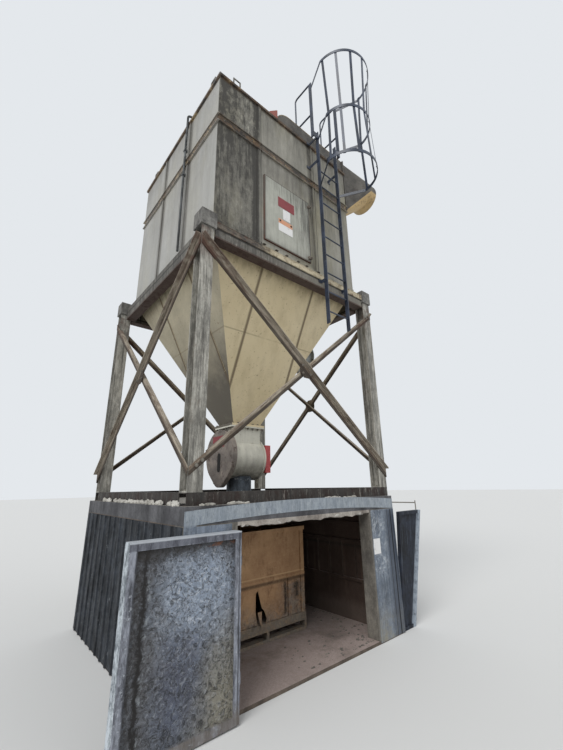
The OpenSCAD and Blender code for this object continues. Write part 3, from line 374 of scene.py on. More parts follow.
def brace_steel(name, node, along, sign):
    """One brace: brown scale and grey wear that run lengthwise, a dark lower edge of painted shade and a
    paler upper one of painted highlight.
    """
    s = Shader(name, rough=0.8)
    low, high = span(node)
    run, other = (s.x, s.y) if along == 0 else (s.y, s.x)
    own_height = 0.13
    slope = sign * (high[2] - low[2] - own_height) / (high[along] - low[along])
    across = s.minus(s.minus(s.z, s.times(run, slope)), (low[2] + high[2]) / 2)
    length = s.node("CombineXYZ", run, across, other).outputs[0]
    streak = s.noise(1.0, stretch=(2.5, 30, 30), detail=11, seed=6, place=length)
    colour = s.mix(s.ramp(streak, 0.42, 0.58), "#51483d", "#aba08f")
    scale = s.noise(1.0, stretch=(5, 14, 14), detail=11, rough=0.8, seed=12, place=length)
    colour = s.over(colour, "#4b3628", s.ramp(scale, 0.46, 0.58), 0.8)
    # Painted highlight: patchy pale colour along the brace's upper edge.
    pale = s.noise(1.0, stretch=(4, 24, 24), detail=11, rough=0.8, seed=43, place=length)
    upper = s.times(s.ramp(across, 0.012, 0.034), s.ramp(pale, 0.40, 0.56))
    colour = s.over(colour, "#b7ae9f", upper, 0.6)
    # Painted shade: a dark ragged band along the brace's lower edge.
    wavy = s.more(across, s.minus(scale, 0.5), 0.05)
    lower = s.ramp(wavy, 0.002, -0.020)
    colour = s.over(colour, "#2b231d", lower, 0.8)
    joint = s.times(s.near(s.z, ring_top - 0.35, 0.34),
                    s.patches(0.42, 0.56, 8, detail=8, rough=0.6, seed=20))
    colour = s.over(colour, "#4a2c20", joint, 0.6)
    return s.finish(colour, s.ramp(scale, -2.0, 0.6), s.noise(40, rough=0.8), 0.7, 0.006)


def guard_paint(name):
    """The drive guard: brown-grey paint that has flaked to rust in spots, beige where it's scuffed."""
    s = Shader(name, rough=0.66)
    colour = s.mix(s.patches(0.36, 0.62, 6, rough=0.75, seed=4), "#5b544f", "#837a72")
    beige = s.patches(0.50, 0.62, 3.2, seed=23)
    colour = s.over(colour, "#a2968a", beige, 0.6)
    flake = s.patches(0.55, 0.60, 13, detail=11, rough=0.8, seed=57, twist=0.8)
    colour = s.over(colour, "#3b2419", flake, 0.85)
    low = s.times(s.ramp(s.z, deck_z + 0.64, deck_z + 0.14),
                  s.patches(0.3, 0.55, 5, detail=8, rough=0.7, seed=3))
    colour = s.over(colour, "#332d29", low, 0.6)
    return s.finish(colour, None, s.noise(24, detail=9, rough=0.75), 0.4, 0.003)


def ledge_paint(name):
    """The ledge on the ring beam: black on the left, cream towards the right."""
    s = Shader(name, rough=0.72)
    warp = s.times(s.minus(s.noise(3, detail=8, rough=0.7, seed=3), 0.5), 0.5)
    cream = s.ramp(s.plus(s.x, warp), -0.72, -0.55)
    worn = s.noise(1.0, stretch=(8, 8, 16), detail=11, rough=0.8, seed=8)
    dark = s.mix(s.ramp(worn, 0.42, 0.6), "#2d2a27", "#6f6558")
    light = s.mix(s.ramp(worn, 0.36, 0.52), "#6b5c47", "#b9ae94")
    colour = s.mix(cream, dark, light)
    rust = s.patches(0.54, 0.62, 9, seed=14)
    colour = s.over(colour, "#54382a", rust, 0.7)
    return s.finish(colour, None, s.noise(30, detail=9, rough=0.75), 0.5, 0.004)


def galvanised(name, base, pale, stain, amount, metal=0.25, white_from=0.57):
    """Old galvanised sheet: dull blotches, runs, white rust and dark scratches."""
    s = Shader(name, metallic=metal, rough=0.55)
    cloud = s.patches(0.40, 0.60, 4.5, detail=12, rough=0.82, seed=37)
    colour = s.mix(cloud, base, pale)
    spangle = s.ramp(s.cells(46), 0.15, 0.7)
    colour = s.over(colour, pale, spangle, 0.08)
    blotch = s.patches(0.44, 0.60, 3.2, detail=11, seed=7)
    runs = s.runs(0.44, 0.64, 18, 1.0, seed=10)
    dirt = s.least(s.plus(s.times(blotch, 0.7), s.times(runs, 0.6)), 1.0)
    colour = s.over(colour, stain, dirt, amount)
    white = s.patches(white_from, white_from + 0.07, 9, detail=12, rough=0.84, seed=33)
    colour = s.over(colour, "#c2c6c8", white, 0.65)
    pit = s.patches(0.56, 0.66, 38, detail=8, rough=0.8, seed=45)
    colour = s.over(colour, "#2a2c2e", pit, 0.5)
    return s.finish(colour, s.ramp(dirt, -1.1, 0.9), s.noise(16, rough=0.75), 0.5, 0.006)


def leaf_metal(name):
    """The door leaf: a pale outer edge face of painted highlight with stains, dull frame bars with painted
    shade along their inner edges, and a mouldy skin round a lighter patch, with painted shade under the top
    bar.
    """
    s = Shader(name, metallic=0.1, rough=0.68)
    x0, z0 = leaf_low[0], leaf_low[2]
    x1, z1 = leaf_high[0], leaf_high[2]
    wide, tall = x1 - x0, z1 - z0
    bar_grain = s.noise(1.0, stretch=(14, 14, 3), detail=11, rough=0.8, seed=51)
    bars = s.mix(s.ramp(bar_grain, 0.42, 0.58), "#45474e", "#969aa4")
    edge_wear = s.patches(0.55, 0.64, 30, rough=0.8, seed=53)
    bars = s.over(bars, "#c2c7ce", edge_wear, 0.7)
    # Painted shade: dark lines along the bars' inner edges, where they step down to the skin.
    inner_edge_shade = s.most(s.near(s.x, x1 - 0.056, 0.009), s.near(s.x, x0 + 0.056, 0.009))
    bars = s.over(bars, "#26272b", inner_edge_shade, 0.75)
    bars = s.over(bars, "#3b3c46", s.ramp(s.z, z1 - 0.064, z1 - 0.052), 0.6)
    bars = s.over(bars, "#c3c8cd", s.near(s.z, z1 - 0.004, 0.010), 0.75)
    muddy = s.times(s.ramp(s.z, z0 + 0.16, z0 + 0.05), s.patches(0.3, 0.5, 9, detail=9, rough=0.6, seed=57))
    bars = s.over(bars, "#6b635a", muddy, 0.7)
    warp = s.minus(s.noise(3.4, detail=11, rough=0.76, seed=56, twist=0.8), 0.5)
    dx = s.sum("DIVIDE", s.minus(s.x, x0 + 0.56 * wide), 0.36 * wide)
    dz = s.sum("DIVIDE", s.minus(s.z, z0 + 0.70 * tall), 0.30 * tall)
    away = s.sum("SQRT", s.plus(s.times(dx, dx), s.times(dz, dz)))
    light = s.ramp(s.more(away, warp, 3.2), 1.25, 0.3)
    cloud = s.patches(0.38, 0.62, 7, detail=13, rough=0.84, seed=41, twist=1.0)
    skin = s.mix(cloud, "#4b4e55", "#747a83")
    brown = s.patches(0.45, 0.62, 2.4, detail=9, rough=0.75, seed=61, twist=0.5)
    skin = s.over(skin, "#5d564e", brown, 0.45)
    low_right = s.times(s.ramp(s.more(s.z, warp, 0.5), z0 + 0.62 * tall, z0 + 0.2 * tall),
                        s.ramp(s.more(s.x, warp, 0.5), x0 + 0.45 * wide, x0 + 0.75 * wide))
    skin = s.over(skin, "#8b8572", low_right, 0.7)
    skin = s.over(skin, "#94a1b2", light, 0.75)
    blue = s.near(s.more(s.x, warp, 0.3), x0 + 0.48 * wide, 0.27)
    blue = s.times(blue, s.within(s.z, z0 + 0.18, z0 + 0.62, 0.15))
    skin = s.over(skin, "#39415a", blue, 0.5)
    crust = s.patches(0.485, 0.55, 19, detail=13, rough=0.86, seed=44, twist=1.6)
    skin = s.over(skin, "#1b1a1a", crust, 0.86)
    gleam = s.patches(0.52, 0.60, 24, detail=13, rough=0.86, seed=64, twist=1.6)
    skin = s.over(skin, "#ccd1d8", gleam, s.plus(s.times(light, 0.50), 0.30))
    beside = s.ramp(s.more(s.x, warp, 0.5), x0 + 0.30 * wide, x0 + 0.10 * wide)
    beside = s.times(beside, s.patches(0.36, 0.56, 17, detail=12, rough=0.85, seed=66, twist=1.2))
    skin = s.over(skin, "#2e2a27", beside, 0.85)
    ragged = s.minus(s.noise(11, detail=12, rough=0.85, seed=67, twist=1.2), 0.5)
    torn = s.plus(s.x, s.plus(s.times(warp, 0.10), s.times(ragged, 0.16)))
    streak = s.near(torn, x0 + 0.145 * wide, 0.030)
    skin = s.over(skin, "#120e0c", streak, 0.95)
    shred = s.patches(0.52, 0.60, 16, detail=8, rough=0.6, seed=68)
    curl = s.times(s.near(torn, x0 + 0.185 * wide, 0.022), shred)
    skin = s.over(skin, "#9da3a7", curl, 0.5)
    # Painted shade: the skin darkens just under the top bar.
    head = s.ramp(s.more(s.z, warp, 0.25), z1 - 0.16, z1 - 0.07)
    skin = s.over(skin, "#26221f", head, 0.8)
    rust = s.times(s.near(s.z, z1 - 0.080, 0.022), s.patches(0.53, 0.6, 14, seed=48))
    rust = s.times(rust, s.ramp(s.x, x0 + 0.5 * wide, x0 + 0.7 * wide))
    skin = s.over(skin, "#7a4a2c", rust, 0.8)
    bar = 0.059
    inside = s.times(s.within(s.x, x0 + bar, x1 - bar, 0.003), s.within(s.z, z0 + bar, z1 - bar, 0.003))
    inside = s.times(inside, s.ramp(s.y, leaf_low[1] + 0.004, leaf_low[1] + 0.010))
    colour = s.mix(inside, bars, skin)
    # Painted highlight: a pale colour, with stains, on the edge face that looks left.
    outer = s.ramp(s.facing_x, -0.7, -0.9)
    stain = s.patches(0.44, 0.56, 9, stretch=(1, 1, 0.7), detail=12, rough=0.84, seed=58)
    edge_highlight_and_stain = s.mix(stain, "#c6ced4", "#5f666d")
    colour = s.over(colour, edge_highlight_and_stain, outer, s.ramp(s.x, x0 + 0.01, x0 + 0.004))
    height = s.plus(s.noise(50, detail=12, rough=0.84, twist=1.5), s.times(crust, 0.25))
    return s.finish(colour, None, height, 0.6, 0.005)


def scuffed_sheet(name):
    """The sheets on the bunker's front: fine upright scratches, grime, pale scuffs and dust at the foot."""
    s = Shader(name, metallic=0.15, rough=0.6)
    right = span("jamb_sheet")[1][0]
    seam = span("jamb_sheet")[1][2] - 0.002
    colour = s.mix(s.patches(0.38, 0.62, 2.6, detail=11, rough=0.76, seed=3), "#545e6b", "#75808f")
    scratch = s.runs(0.44, 0.60, 60, 1.6, detail=9, seed=14)
    colour = s.over(colour, "#a9b1b8", scratch, 0.30)
    runs = s.runs(0.46, 0.64, 24, 1.1, seed=23)
    colour = s.over(colour, "#2f353c", runs, 0.55)
    grime = s.patches(0.48, 0.60, 3.1, stretch=(1, 1, 0.6), detail=12, rough=0.82, seed=27)
    colour = s.over(colour, "#2b2e33", grime, 0.55)
    above = s.ramp(s.z, seam - 0.005, seam + 0.02)
    lintel = s.mix(s.runs(0.36, 0.6, 30, 7, rough=0.8, seed=30), "#6e7780", "#a7aeb2")
    colour = s.over(colour, lintel, above, 0.65)
    scuffed = s.times(s.within(s.x, right - 0.50, right - 0.28, 0.1),
                      s.within(s.z, seam - 0.65, seam - 0.08, 0.15))
    scuff = s.patches(0.50, 0.60, 11, detail=13, rough=0.85, seed=33, twist=0.8)
    colour = s.over(colour, "#b9bec2", scuff, s.plus(s.times(scuffed, 0.6), 0.18))
    dust = s.times(s.ramp(s.z, 0.42, 0.04), s.patches(0.40, 0.56, 6, detail=11, rough=0.8, seed=38))
    colour = s.over(colour, "#8c8571", dust, 0.7)
    below = s.ramp(s.z, seam, seam - 0.01)
    strip = s.times(s.ramp(s.x, right - 0.25, right - 0.14), below)
    colour = s.over(colour, "#2c3443", strip, 0.66)
    edge = s.most(s.near(s.x, right - 0.0745, 0.012), s.near(s.x, right - 0.148, 0.007))
    colour = s.over(colour, "#17191d", edge, below)
    colour = s.over(colour, "#9aa2aa", s.near(s.x, right - 0.005, 0.008), s.times(below, scratch))
    pit = s.patches(0.56, 0.64, 44, detail=9, rough=0.82, seed=45)
    colour = s.over(colour, "#24262a", pit, 0.5)
    return s.finish(colour, None, s.noise(18, detail=12, rough=0.8), 0.6, 0.008)


def wing_sheet(name):
    """The wing panel: nearly black, with a pale outer edge."""
    s = Shader(name, metallic=0.15, rough=0.8)
    colour = s.mix(s.patches(0.42, 0.58, 5, detail=12, rough=0.82, seed=3), "#0a0d14", "#1f2532")
    runs = s.runs(0.52, 0.62, 24, 1.2, seed=9)
    colour = s.over(colour, "#4b5460", runs, 0.55)
    lean, edge_start, edge_end = 0.1868, 1.640, 1.662
    slant = s.minus(s.x, s.times(s.z, lean))
    worn = s.patches(0.38, 0.52, 12, detail=11, rough=0.82, seed=13)
    edge = s.times(s.ramp(slant, edge_start, edge_end), s.plus(s.times(worn, 0.55), 0.30))
    colour = s.mix(edge, colour, "#a2acb6")
    return s.finish(colour, None, s.noise(22, rough=0.8), 0.5, 0.005)


def old_concrete(name, base, pale, stain, dust=None, depth=0.012, scale=22, outer=None):
    """Concrete with sand grain, wet stains and soot, dust lying on what faces up, and a greyer outer face."""
    s = Shader(name, rough=0.9)
    colour = s.mix(s.patches(0.38, 0.62, 2.6, detail=12, rough=0.8, seed=3), base, pale)
    damp = s.patches(0.45, 0.60, 2.0, stretch=(1.3, 1.3, 0.5), detail=11, seed=15)
    colour = s.over(colour, stain, damp, 0.6)
    if outer:
        low, high = span("right_wall")
        inner = s.times(s.ramp(s.facing_x, -0.6, -0.8), s.ramp(s.x, low[0] - 0.2, low[0] - 0.1))
        ribs, ribs_z, rail_z = 22.0, 0.62, 0.92
        sheet = s.times(s.near(s.sum("SINE", s.times(s.y, ribs)), 1.0, 0.10), s.near(s.z, ribs_z, 0.34))
        drift = s.ramp(s.more(s.z, s.noise(4, rough=0.75, seed=71), 0.16), 0.36, 0.26)
        shade = s.mix(s.times(sheet, 0.5), "#453229", "#6a5446")
        shade = s.over(shade, "#191310", s.near(s.z, rail_z, 0.022), 0.8)
        shade = s.mix(drift, shade, "#5d4f47")
        colour = s.over(colour, shade, inner, 0.7)
        out = s.times(s.ramp(s.x, high[0] - 0.006, high[0] - 0.003), s.ramp(s.facing_x, 0.6, 0.8))
        colour = s.mix(out, colour, s.mix(s.times(damp, 0.6), outer, "#4b4741"))
    if dust:
        lying = s.times(s.ramp(s.facing_z, 0.6, 0.9), s.patches(0.25, 0.5, 1.2, rough=0.75, seed=23))
        colour = s.mix(lying, colour, dust)
    grain = s.patches(0.38, 0.66, 80, detail=6, rough=0.75, seed=19)
    colour = s.over(colour, "#2b2824", grain, 0.35)
    return s.finish(colour, None, s.noise(scale, detail=13, rough=0.8, twist=0.5), 0.8, depth)


def navy_paint(name):
    """Dark blue-black paint on the ladder, chipped to grey."""
    s = Shader(name, rough=0.42)
    colour = s.mix(s.patches(0.4, 0.65, 5, detail=5, rough=0.6, seed=2), "#1d2431", "#333d50")
    chips = s.patches(0.60, 0.66, 26, detail=8, rough=0.7, seed=5)
    colour = s.over(colour, "#6a6d70", chips, 0.6)
    return s.finish(colour, None, s.noise(30, detail=4, rough=0.6), 0.15, 0.001)


def dusty_tan(name):
    """The dust bin: tan dust over orange rust, a painted shadow under its rail and a painted highlight along
    its top, a tear painted dark as the shade inside it, and mouldy towards its foot.
    """
    s = Shader(name, rough=0.84)
    low_y = span("dust_bin")[0][1]
    under_z, over_z, skid_z = 0.612, 0.684, 0.225
    colour = s.mix(s.patches(0.36, 0.62, 1.8, detail=11, rough=0.76, seed=2), "#8a6748", "#b4906a")
    rust = s.patches(0.52, 0.62, 4.5, stretch=(1, 1, 0.5), detail=11, rough=0.8, seed=14)
    colour = s.over(colour, "#5f3e27", rust, 0.55)
    warp = s.minus(s.noise(5, rough=0.8, seed=30, twist=0.6), 0.5)
    foot = s.ramp(s.more(s.z, warp, 0.25), 0.46, 0.20)
    right = s.times(s.ramp(s.more(s.x, warp, 0.4), 0.12, 0.36), s.ramp(s.z, 0.64, 0.54))
    mould = s.most(foot, s.times(right, 0.85))
    mould = s.times(mould, s.patches(0.34, 0.52, 9, detail=12, rough=0.84, seed=18))
    black = s.patches(0.44, 0.60, 15, detail=12, rough=0.85, seed=73, twist=0.8)
    colour = s.over(colour, s.mix(black, "#7b756e", "#2a2622"), mould, 0.92)
    tear = s.times(s.near(s.more(s.x, warp, 0.10), 0.285, 0.030),
                   s.within(s.more(s.z, warp, 0.2), 0.27, 0.58, 0.03))
    tear = s.most(tear, s.times(s.near(s.more(s.x, warp, 0.16), 0.47, 0.05),
                                s.within(s.more(s.z, warp, 0.3), 0.40, 0.55, 0.03)))
    # Painted shade: the tear is painted near black where its hole would show shade.
    front = s.ramp(s.y, low_y + 0.03, low_y + 0.02)
    colour = s.over(colour, "#15110d", s.times(tear, front), 0.85)
    # Painted shadow: a dark line just under the rail.
    under = s.times(s.near(s.z, under_z, 0.030), front)
    colour = s.over(colour, "#33251a", under, 0.7)
    # Painted highlight: a pale line along the rail's top edge.
    over = s.times(s.near(s.z, over_z, 0.010), front)
    colour = s.over(colour, "#c8a67c", over, 0.6)
    skid = s.ramp(s.z, skid_z, skid_z - 0.015)
    colour = s.over(colour, "#6a6459", skid, 0.6)
    dust = s.patches(0.52, 0.66, 34, detail=8, seed=22)
    colour = s.over(colour, "#bf9f76", dust, 0.35)
    return s.finish(colour, None, s.noise(16, detail=11), 0.6, 0.008)


def plain_paint(name, base, worn, rough=0.5):
    """A small painted piece with light wear."""
    s = Shader(name, rough=rough)
    wear = s.patches(0.55, 0.66, 19, detail=8, rough=0.7, seed=6)
    return s.finish(s.over(base, worn, wear, 0.6), None, s.noise(40, detail=4, rough=0.6), 0.15, 0.001)


def hood_metal_by_facing(name):
    """The hood and transition: brown-grey zinc above, tan on the faces that look down."""
    s = Shader(name, metallic=0.15, rough=0.62)
    blotch = s.patches(0.38, 0.64, 3.4, detail=11, seed=27)
    upper = s.mix(blotch, "#393632", "#66625b")
    lower = s.mix(blotch, "#a98f62", "#c3a878")
    colour = s.mix(s.ramp(s.facing_z, -0.12, -0.25), upper, lower)
    rust = s.patches(0.54, 0.62, 8, rough=0.76, seed=29)
    colour = s.over(colour, "#3a2c24", rust, 0.55)
    return s.finish(colour, None, s.noise(22, detail=8, rough=0.7), 0.3, 0.004)


looks = {
    "front": painted_wall("front_paint", "#97948a", "#aaa79b", "#2f2d2b", 0.85, FRONT_RIBS, "x", 0.20, 0.8),
    "access": access_paint("access_paint"),
    "side": painted_wall("side_paint", "#a3a29e", "#b1b0ab", "#4a4742", 0.55, SIDE_RIBS, "y", 0.0, 0.9),
    "rear": painted_wall("rear_paint", "#a09e95", "#b0aea4", "#45423d", 0.7, SIDE_RIBS, "x"),
    "hopper": hopper_paint("hopper_paint"),
    "airlock": airlock_paint("airlock_paint"),
    "guard": guard_paint("guard_paint"),
    "leg": rusty_steel("leg_steel", "#74726b", "#b6b3a9", "#57493a", 0.56, ring_top - 0.25, ring_top - 0.11),
    "beam": rusty_steel("beam_steel", "#464340", "#737068", "#37302a", 0.52, grey_from=-0.9),
    "base": rusty_steel("base_steel", "#24211f", "#3b3632", "#2f1f1c", 0.48),
    "sheet": scuffed_sheet("clad_sheet"),
    "strip": wing_sheet("side_strip"),
    "dark_sheet": galvanised("dark_sheet", "#1d2024", "#393f47", "#101214", 0.8, 0.2, 0.60),
    "leaf": leaf_metal("leaf_metal"),
    "zinc": galvanised("duct_zinc", "#8b8f8e", "#aeb2b1", "#5e5c56", 0.5),
    "spout": galvanised("spout_zinc", "#3a4047", "#59626b", "#1f2124", 0.7),
    "conduit": galvanised("conduit_zinc", "#4a4c4d", "#6c6f70", "#2c2b2a", 0.6),
    "concrete": old_concrete("bunker_concrete", "#5f5b55", "#8b867c", "#34302c"),
    "deck": old_concrete("deck_concrete", "#38383c", "#6b6b6e", "#1e1e21", "#8d8982"),
    "edge": old_concrete("lintel_concrete", "#8f867e", "#c4bdb3", "#4c423c", None, 0.03, 14),
    "roof": galvanised("roof_sheet", "#6c6963", "#8b8880", "#46413b", 0.85, 0.1),
    "inside": old_concrete("inside_concrete", "#51463d", "#776a5e", "#241e1a", "#a79790", outer="#7b766d"),
    "rubble": old_concrete("broken_concrete", "#b7b3aa", "#d3d0c8", "#6d6962"),
    "navy": navy_paint("ladder_paint"),
    "tan": dusty_tan("bin_steel"),
    "hood": hood_metal_by_facing("hood_metal"),
    "ledge": ledge_paint("ledge_paint"),
    "red": plain_paint("red_guard_paint", "#b5494a", "#7c2f2c"),
    "box": plain_paint("roof_box_paint", "#94564c", "#6c4a42", 0.7),
    "maroon": plain_paint("maroon_sign", "#7e2f33", "#5d2a2b"),
    "white": plain_paint("white_plate", "#d9d8d6", "#a9a6a0", 0.45),
    "amber": plain_paint("amber_plate", "#c98f6d", "#b9a596", 0.45),
    "bolt": rusty_steel("bolt_steel", "#5f5a52", "#8b867b", "#4c3225", 0.5),
    "dark": plain_paint("dark_gap", "#191715", "#2c2926", 0.9),
}

# The CAD nodes that wear each look
DRESS = {
    "front": "housing_front",
    "access": "access_door",
    "side": "housing_left housing_right",
    "rear": "housing_rear",
    "roof": "housing_roof",
    "hopper": "hopper",
    "airlock": "airlock",
    "guard": "chain_guard",
    "leg": "leg_front_left leg_front_right leg_rear_left leg_rear_right",
    "beam": "ring_front ring_rear ring_left ring_right door_hinges hook_rod",
    "base": "base_front base_rear base_left base_right",
    "sheet": "lintel_sheet jamb_sheet",
    "strip": "wing_panel",
    "dark_sheet": "side_sheet",
    "leaf": "left_door",
    "zinc": "inlet_stub",
    "spout": "discharge_spout",
    "conduit": "conduit",
    "concrete": "left_jamb right_jamb rear_wall",
    "deck": "deck_slab",
    "edge": "lintel",
    "inside": "left_wall right_wall floor_slab",
    "navy": "ladder ladder_brackets grab_rails cage_top_hoop cage_middle_hoop cage_bottom_hoop cage_bars",
    "tan": "dust_bin",
    "hood": "roof_hood outlet_transition",
    "red": "tail_guard",
    "box": "roof_box",
}

for side, along in (("front", 0), ("rear", 0), ("left", 1), ("right", 1)):
    for which, sign in (("a", -1), ("b", 1)):
        brace = f"{side}_brace_{which}"
        looks[brace] = brace_steel(brace + "_steel", brace, along, sign)
        DRESS[brace] = brace


def dress_nodes():
    for look, names in DRESS.items():
        for name in names.split():
            mesh = nodes[name].data
            mesh.materials.clear()
            mesh.materials.append(looks[look])


class Kit:
    """Small parts gathered into one mesh."""

    def __init__(self):
        self.mesh = bmesh.new()

    def rod(self, start, end, radius, sides=12, tip=None):
        """A round rod, or a tapered one where the tip's radius is given."""
        start, end = Vector(start), Vector(end)
        turn = (end - start).to_track_quat("Z", "Y").to_matrix().to_4x4()
        bmesh.ops.create_cone(self.mesh, cap_ends=True, segments=sides, radius1=radius,
                              radius2=radius if tip is None else tip, depth=(end - start).length,
                              matrix=Matrix.Translation((start + end) / 2) @ turn)

    def bolt(self, place, normal, size):
        """A hexagon head on a washer, standing on the face at place."""
        place, normal = Vector(place), Vector(normal).normalized()
        washer = normal * size * 0.25
        self.rod(place, place + washer, size * 1.5, 12)
        self.rod(place + washer, place + normal * size * 1.1, size, 6, size * 0.94)

    def ring(self, centre, axis, radius, count, size, turn=0.0):
        """Bolts in a ring about centre, with their heads along axis."""
        axis = Vector(axis).normalized()
        side = axis.orthogonal().normalized()
        for i in range(count):
            arm = Matrix.Rotation(turn + math.tau * i / count, 3, axis) @ side
            self.bolt(Vector(centre) + arm * radius, axis, size)

    def points(self, places):
        return [self.mesh.verts.new(place) for place in places]

    def skin(self, rows):
        """Faces between rows of points, and over the first row and the last."""
        self.mesh.faces.new(rows[0])
        self.mesh.faces.new(rows[-1])
        for a, b in zip(rows, rows[1:]):
            for i in range(len(a)):
                j = (i + 1) % len(a)
                self.mesh.faces.new((a[i], a[j], b[j], b[i]))

    def prism(self, outline, z0, z1):
        """An outline in XY, drawn up from z0 to z1."""
        self.skin([self.points((x, y, z) for x, y in outline) for z in (z0, z1)])

    def run(self, profile, places, wobble):
        """A profile in YZ carried along X, with a slight wobble in its level."""
        rows = []
        for x in places:
            shift = wobble * noise.noise(Vector((x * 4, 1.7, 0.3)))
            rows.append(self.points((x, y, z + shift) for y, z in profile))
        self.skin(rows)

    def plate(self, corner, across, up, width, height, thick, round_r):
        """A thin plate with rounded corners, standing off the face that it lies on."""
        corner, across, up = Vector(corner), Vector(across), Vector(up)
        out = across.cross(up)
        right, top = width - round_r, height - round_r
        rim = []
        corners = ((right, top, 0), (round_r, top, 90), (round_r, round_r, 180), (right, round_r, 270))
        for cx, cy, first in corners:
            for angle in steps(first, first + 90, 5):
                a = math.radians(angle)
                rim.append((cx + round_r * math.cos(a), cy + round_r * math.sin(a)))
        self.skin([self.points(corner + across * x + up * y + out * d for x, y in rim) for d in (0, thick)])

    def flap(self, place, width, height, lean):
        """A torn tongue of sheet that hangs from place, narrows and bends outward."""
        thick = 0.003
        rows = []
        for t in steps(0, 1, 7):
            half = width / 2 * (1 - 0.85 * t)
            y = place[1] - 0.001 - lean * t * t
            z = place[2] - height * t
            rows.append(self.points((place[0] + k * half, y + d, z)
                                    for k, d in ((-1, 0), (1, 0), (1, thick), (-1, thick))))
        self.skin(rows)

    def ball(self, place, size, seed):
        """A rough lump of broken concrete."""
        made = bmesh.ops.create_icosphere(self.mesh, subdivisions=2, radius=1, matrix=Matrix.Identity(4))
        for v in made["verts"]:
            wobble = 1 + 0.55 * noise.noise(v.co * 1.7 + Vector((seed, seed * 0.37, -seed)))
            v.co = Vector(place) + Vector((v.co.x * size[0], v.co.y * size[1], v.co.z * size[2])) * wobble

    def piece(self, name, look, body=PLANT, replaces=None):
        """The mesh as one piece of the scene."""
        data = bpy.data.meshes.new(name)
        bmesh.ops.recalc_face_normals(self.mesh, faces=self.mesh.faces)
        self.mesh.to_mesh(data)
        self.mesh.free()
        made = bpy.data.objects.new(name, data)
        bpy.context.scene.collection.objects.link(made)
        data.materials.append(looks[look])
        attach(made, body)
        if replaces:
            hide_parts(replaces)
        return made


def steps(start, end, count):
    return [start + (end - start) * i / (count - 1) for i in range(count)]


def rim_spots(a0, a1, a_count, b0, b1, b_count):
    """Points evenly along a rectangle's sides, with each corner once."""
    spots = [(a, b) for a in steps(a0, a1, a_count) for b in (b0, b1)]
    return spots + [(a, b) for b in steps(b0, b1, b_count)[1:-1] for a in (a0, a1)]


def make_stage():
    reach, below = 90, -0.002
    data = bpy.data.meshes.new("floor")
    data.from_pydata([(x * reach, y * reach, below) for x, y in ((-1, -1), (1, -1), (1, 1), (-1, 1))],
                     [], [(0, 1, 2, 3)])
    floor = bpy.data.objects.new("floor", data)
    bpy.context.scene.collection.objects.link(floor)
    s = Shader("floor_paint", rough=0.95)
    s.finish(srgb("#d5d5d3"))
    data.materials.append(s.material)


def make_world():
    """A soft light all round, and a pale background for what looks straight at it."""
    world = bpy.data.worlds.new("studio")
    bpy.context.scene.world = world
    world.use_nodes = True
    tree = world.node_tree
    tree.nodes.clear()
    lamp, shown = (tree.nodes.new("ShaderNodeBackground") for _ in range(2))
    lamp.inputs["Color"].default_value = (0.93, 0.96, 1.0, 1)
    lamp.inputs["Strength"].default_value = 0.62
    shown.inputs["Color"].default_value = srgb("#e4e8ec")
    shown.inputs["Strength"].default_value = 1.0
    rays = tree.nodes.new("ShaderNodeLightPath")
    either, glossy = (tree.nodes.new("ShaderNodeMath") for _ in range(2))
    either.operation = glossy.operation = "MAXIMUM"
    blend = tree.nodes.new("ShaderNodeMixShader")
    out = tree.nodes.new("ShaderNodeOutputWorld")
    for start, end in ((rays.outputs["Is Glossy Ray"], glossy.inputs[0]),
                       (rays.outputs["Is Transmission Ray"], glossy.inputs[1]),
                       (rays.outputs["Is Camera Ray"], either.inputs[0]),
                       (glossy.outputs[0], either.inputs[1]),
                       (either.outputs[0], blend.inputs[0]),
                       (lamp.outputs[0], blend.inputs[1]),
                       (shown.outputs[0], blend.inputs[2]),
                       (blend.outputs[0], out.inputs[0])):
        tree.links.new(start, end)


def make_suns():
    for name, aim, strength, width in (("key", (0.62, 0.30, -0.62), 1.9, 34),
                                       ("fill", (-0.5, 0.75, -0.25), 0.55, 60)):
        data = bpy.data.lights.new(name, "SUN")
        data.energy = strength
        data.angle = math.radians(width)
        sun = bpy.data.objects.new(name, data)
        sun.rotation_euler = Vector(aim).to_track_quat("-Z", "Y").to_euler()
        bpy.context.scene.collection.objects.link(sun)
    bpy.context.scene.view_settings.view_transform = "Standard"


def make_band_bolts():
    """Bolts along the band round the housing."""
    kit = Kit()
    row, proud, inset, count, size = band_z - 0.001, 0.008, 0.08, 17, 0.008
    for x in steps(-hx + inset, hx - inset, count):
        for side in (-1, 1):
            kit.bolt((x, side * (hy + proud), row), (0, side, 0), size)
    for y in steps(-hy + inset, hy - inset, count):
        for side in (-1, 1):
            kit.bolt((side * (hx + proud), y, row), (side, 0, 0), size)
    kit.piece("band_bolts", "bolt")


def make_airlock_bolts():
    """Studs through the flanges between the hopper and the airlock, and bolts on the drum's right end."""
    kit = Kit()
    lip_z = span("hopper")[0][2] + 0.030
    flanges, stud = 0.050, 0.080
    for x, y in rim_spots(-0.275, 0.235, 7, -0.250, 0.160, 6):
        kit.bolt((x, y, lip_z), (0, 0, 1), 0.014)
        kit.bolt((x, y, lip_z - flanges), (0, 0, -1), 0.014)
        kit.rod((x, y, lip_z - stud), (x, y, lip_z - flanges), 0.007, 8)
    drum_y, drum_z = -0.045, 2.085
    cap_x = span("airlock")[1][0]
    kit.ring((cap_x - 0.060, drum_y, drum_z), (1, 0, 0), 0.275, 16, 0.008)
    kit.ring((cap_x, drum_y, drum_z), (1, 0, 0), 0.070, 4, 0.007, 0.4)
    kit.piece("airlock_bolts", "bolt")


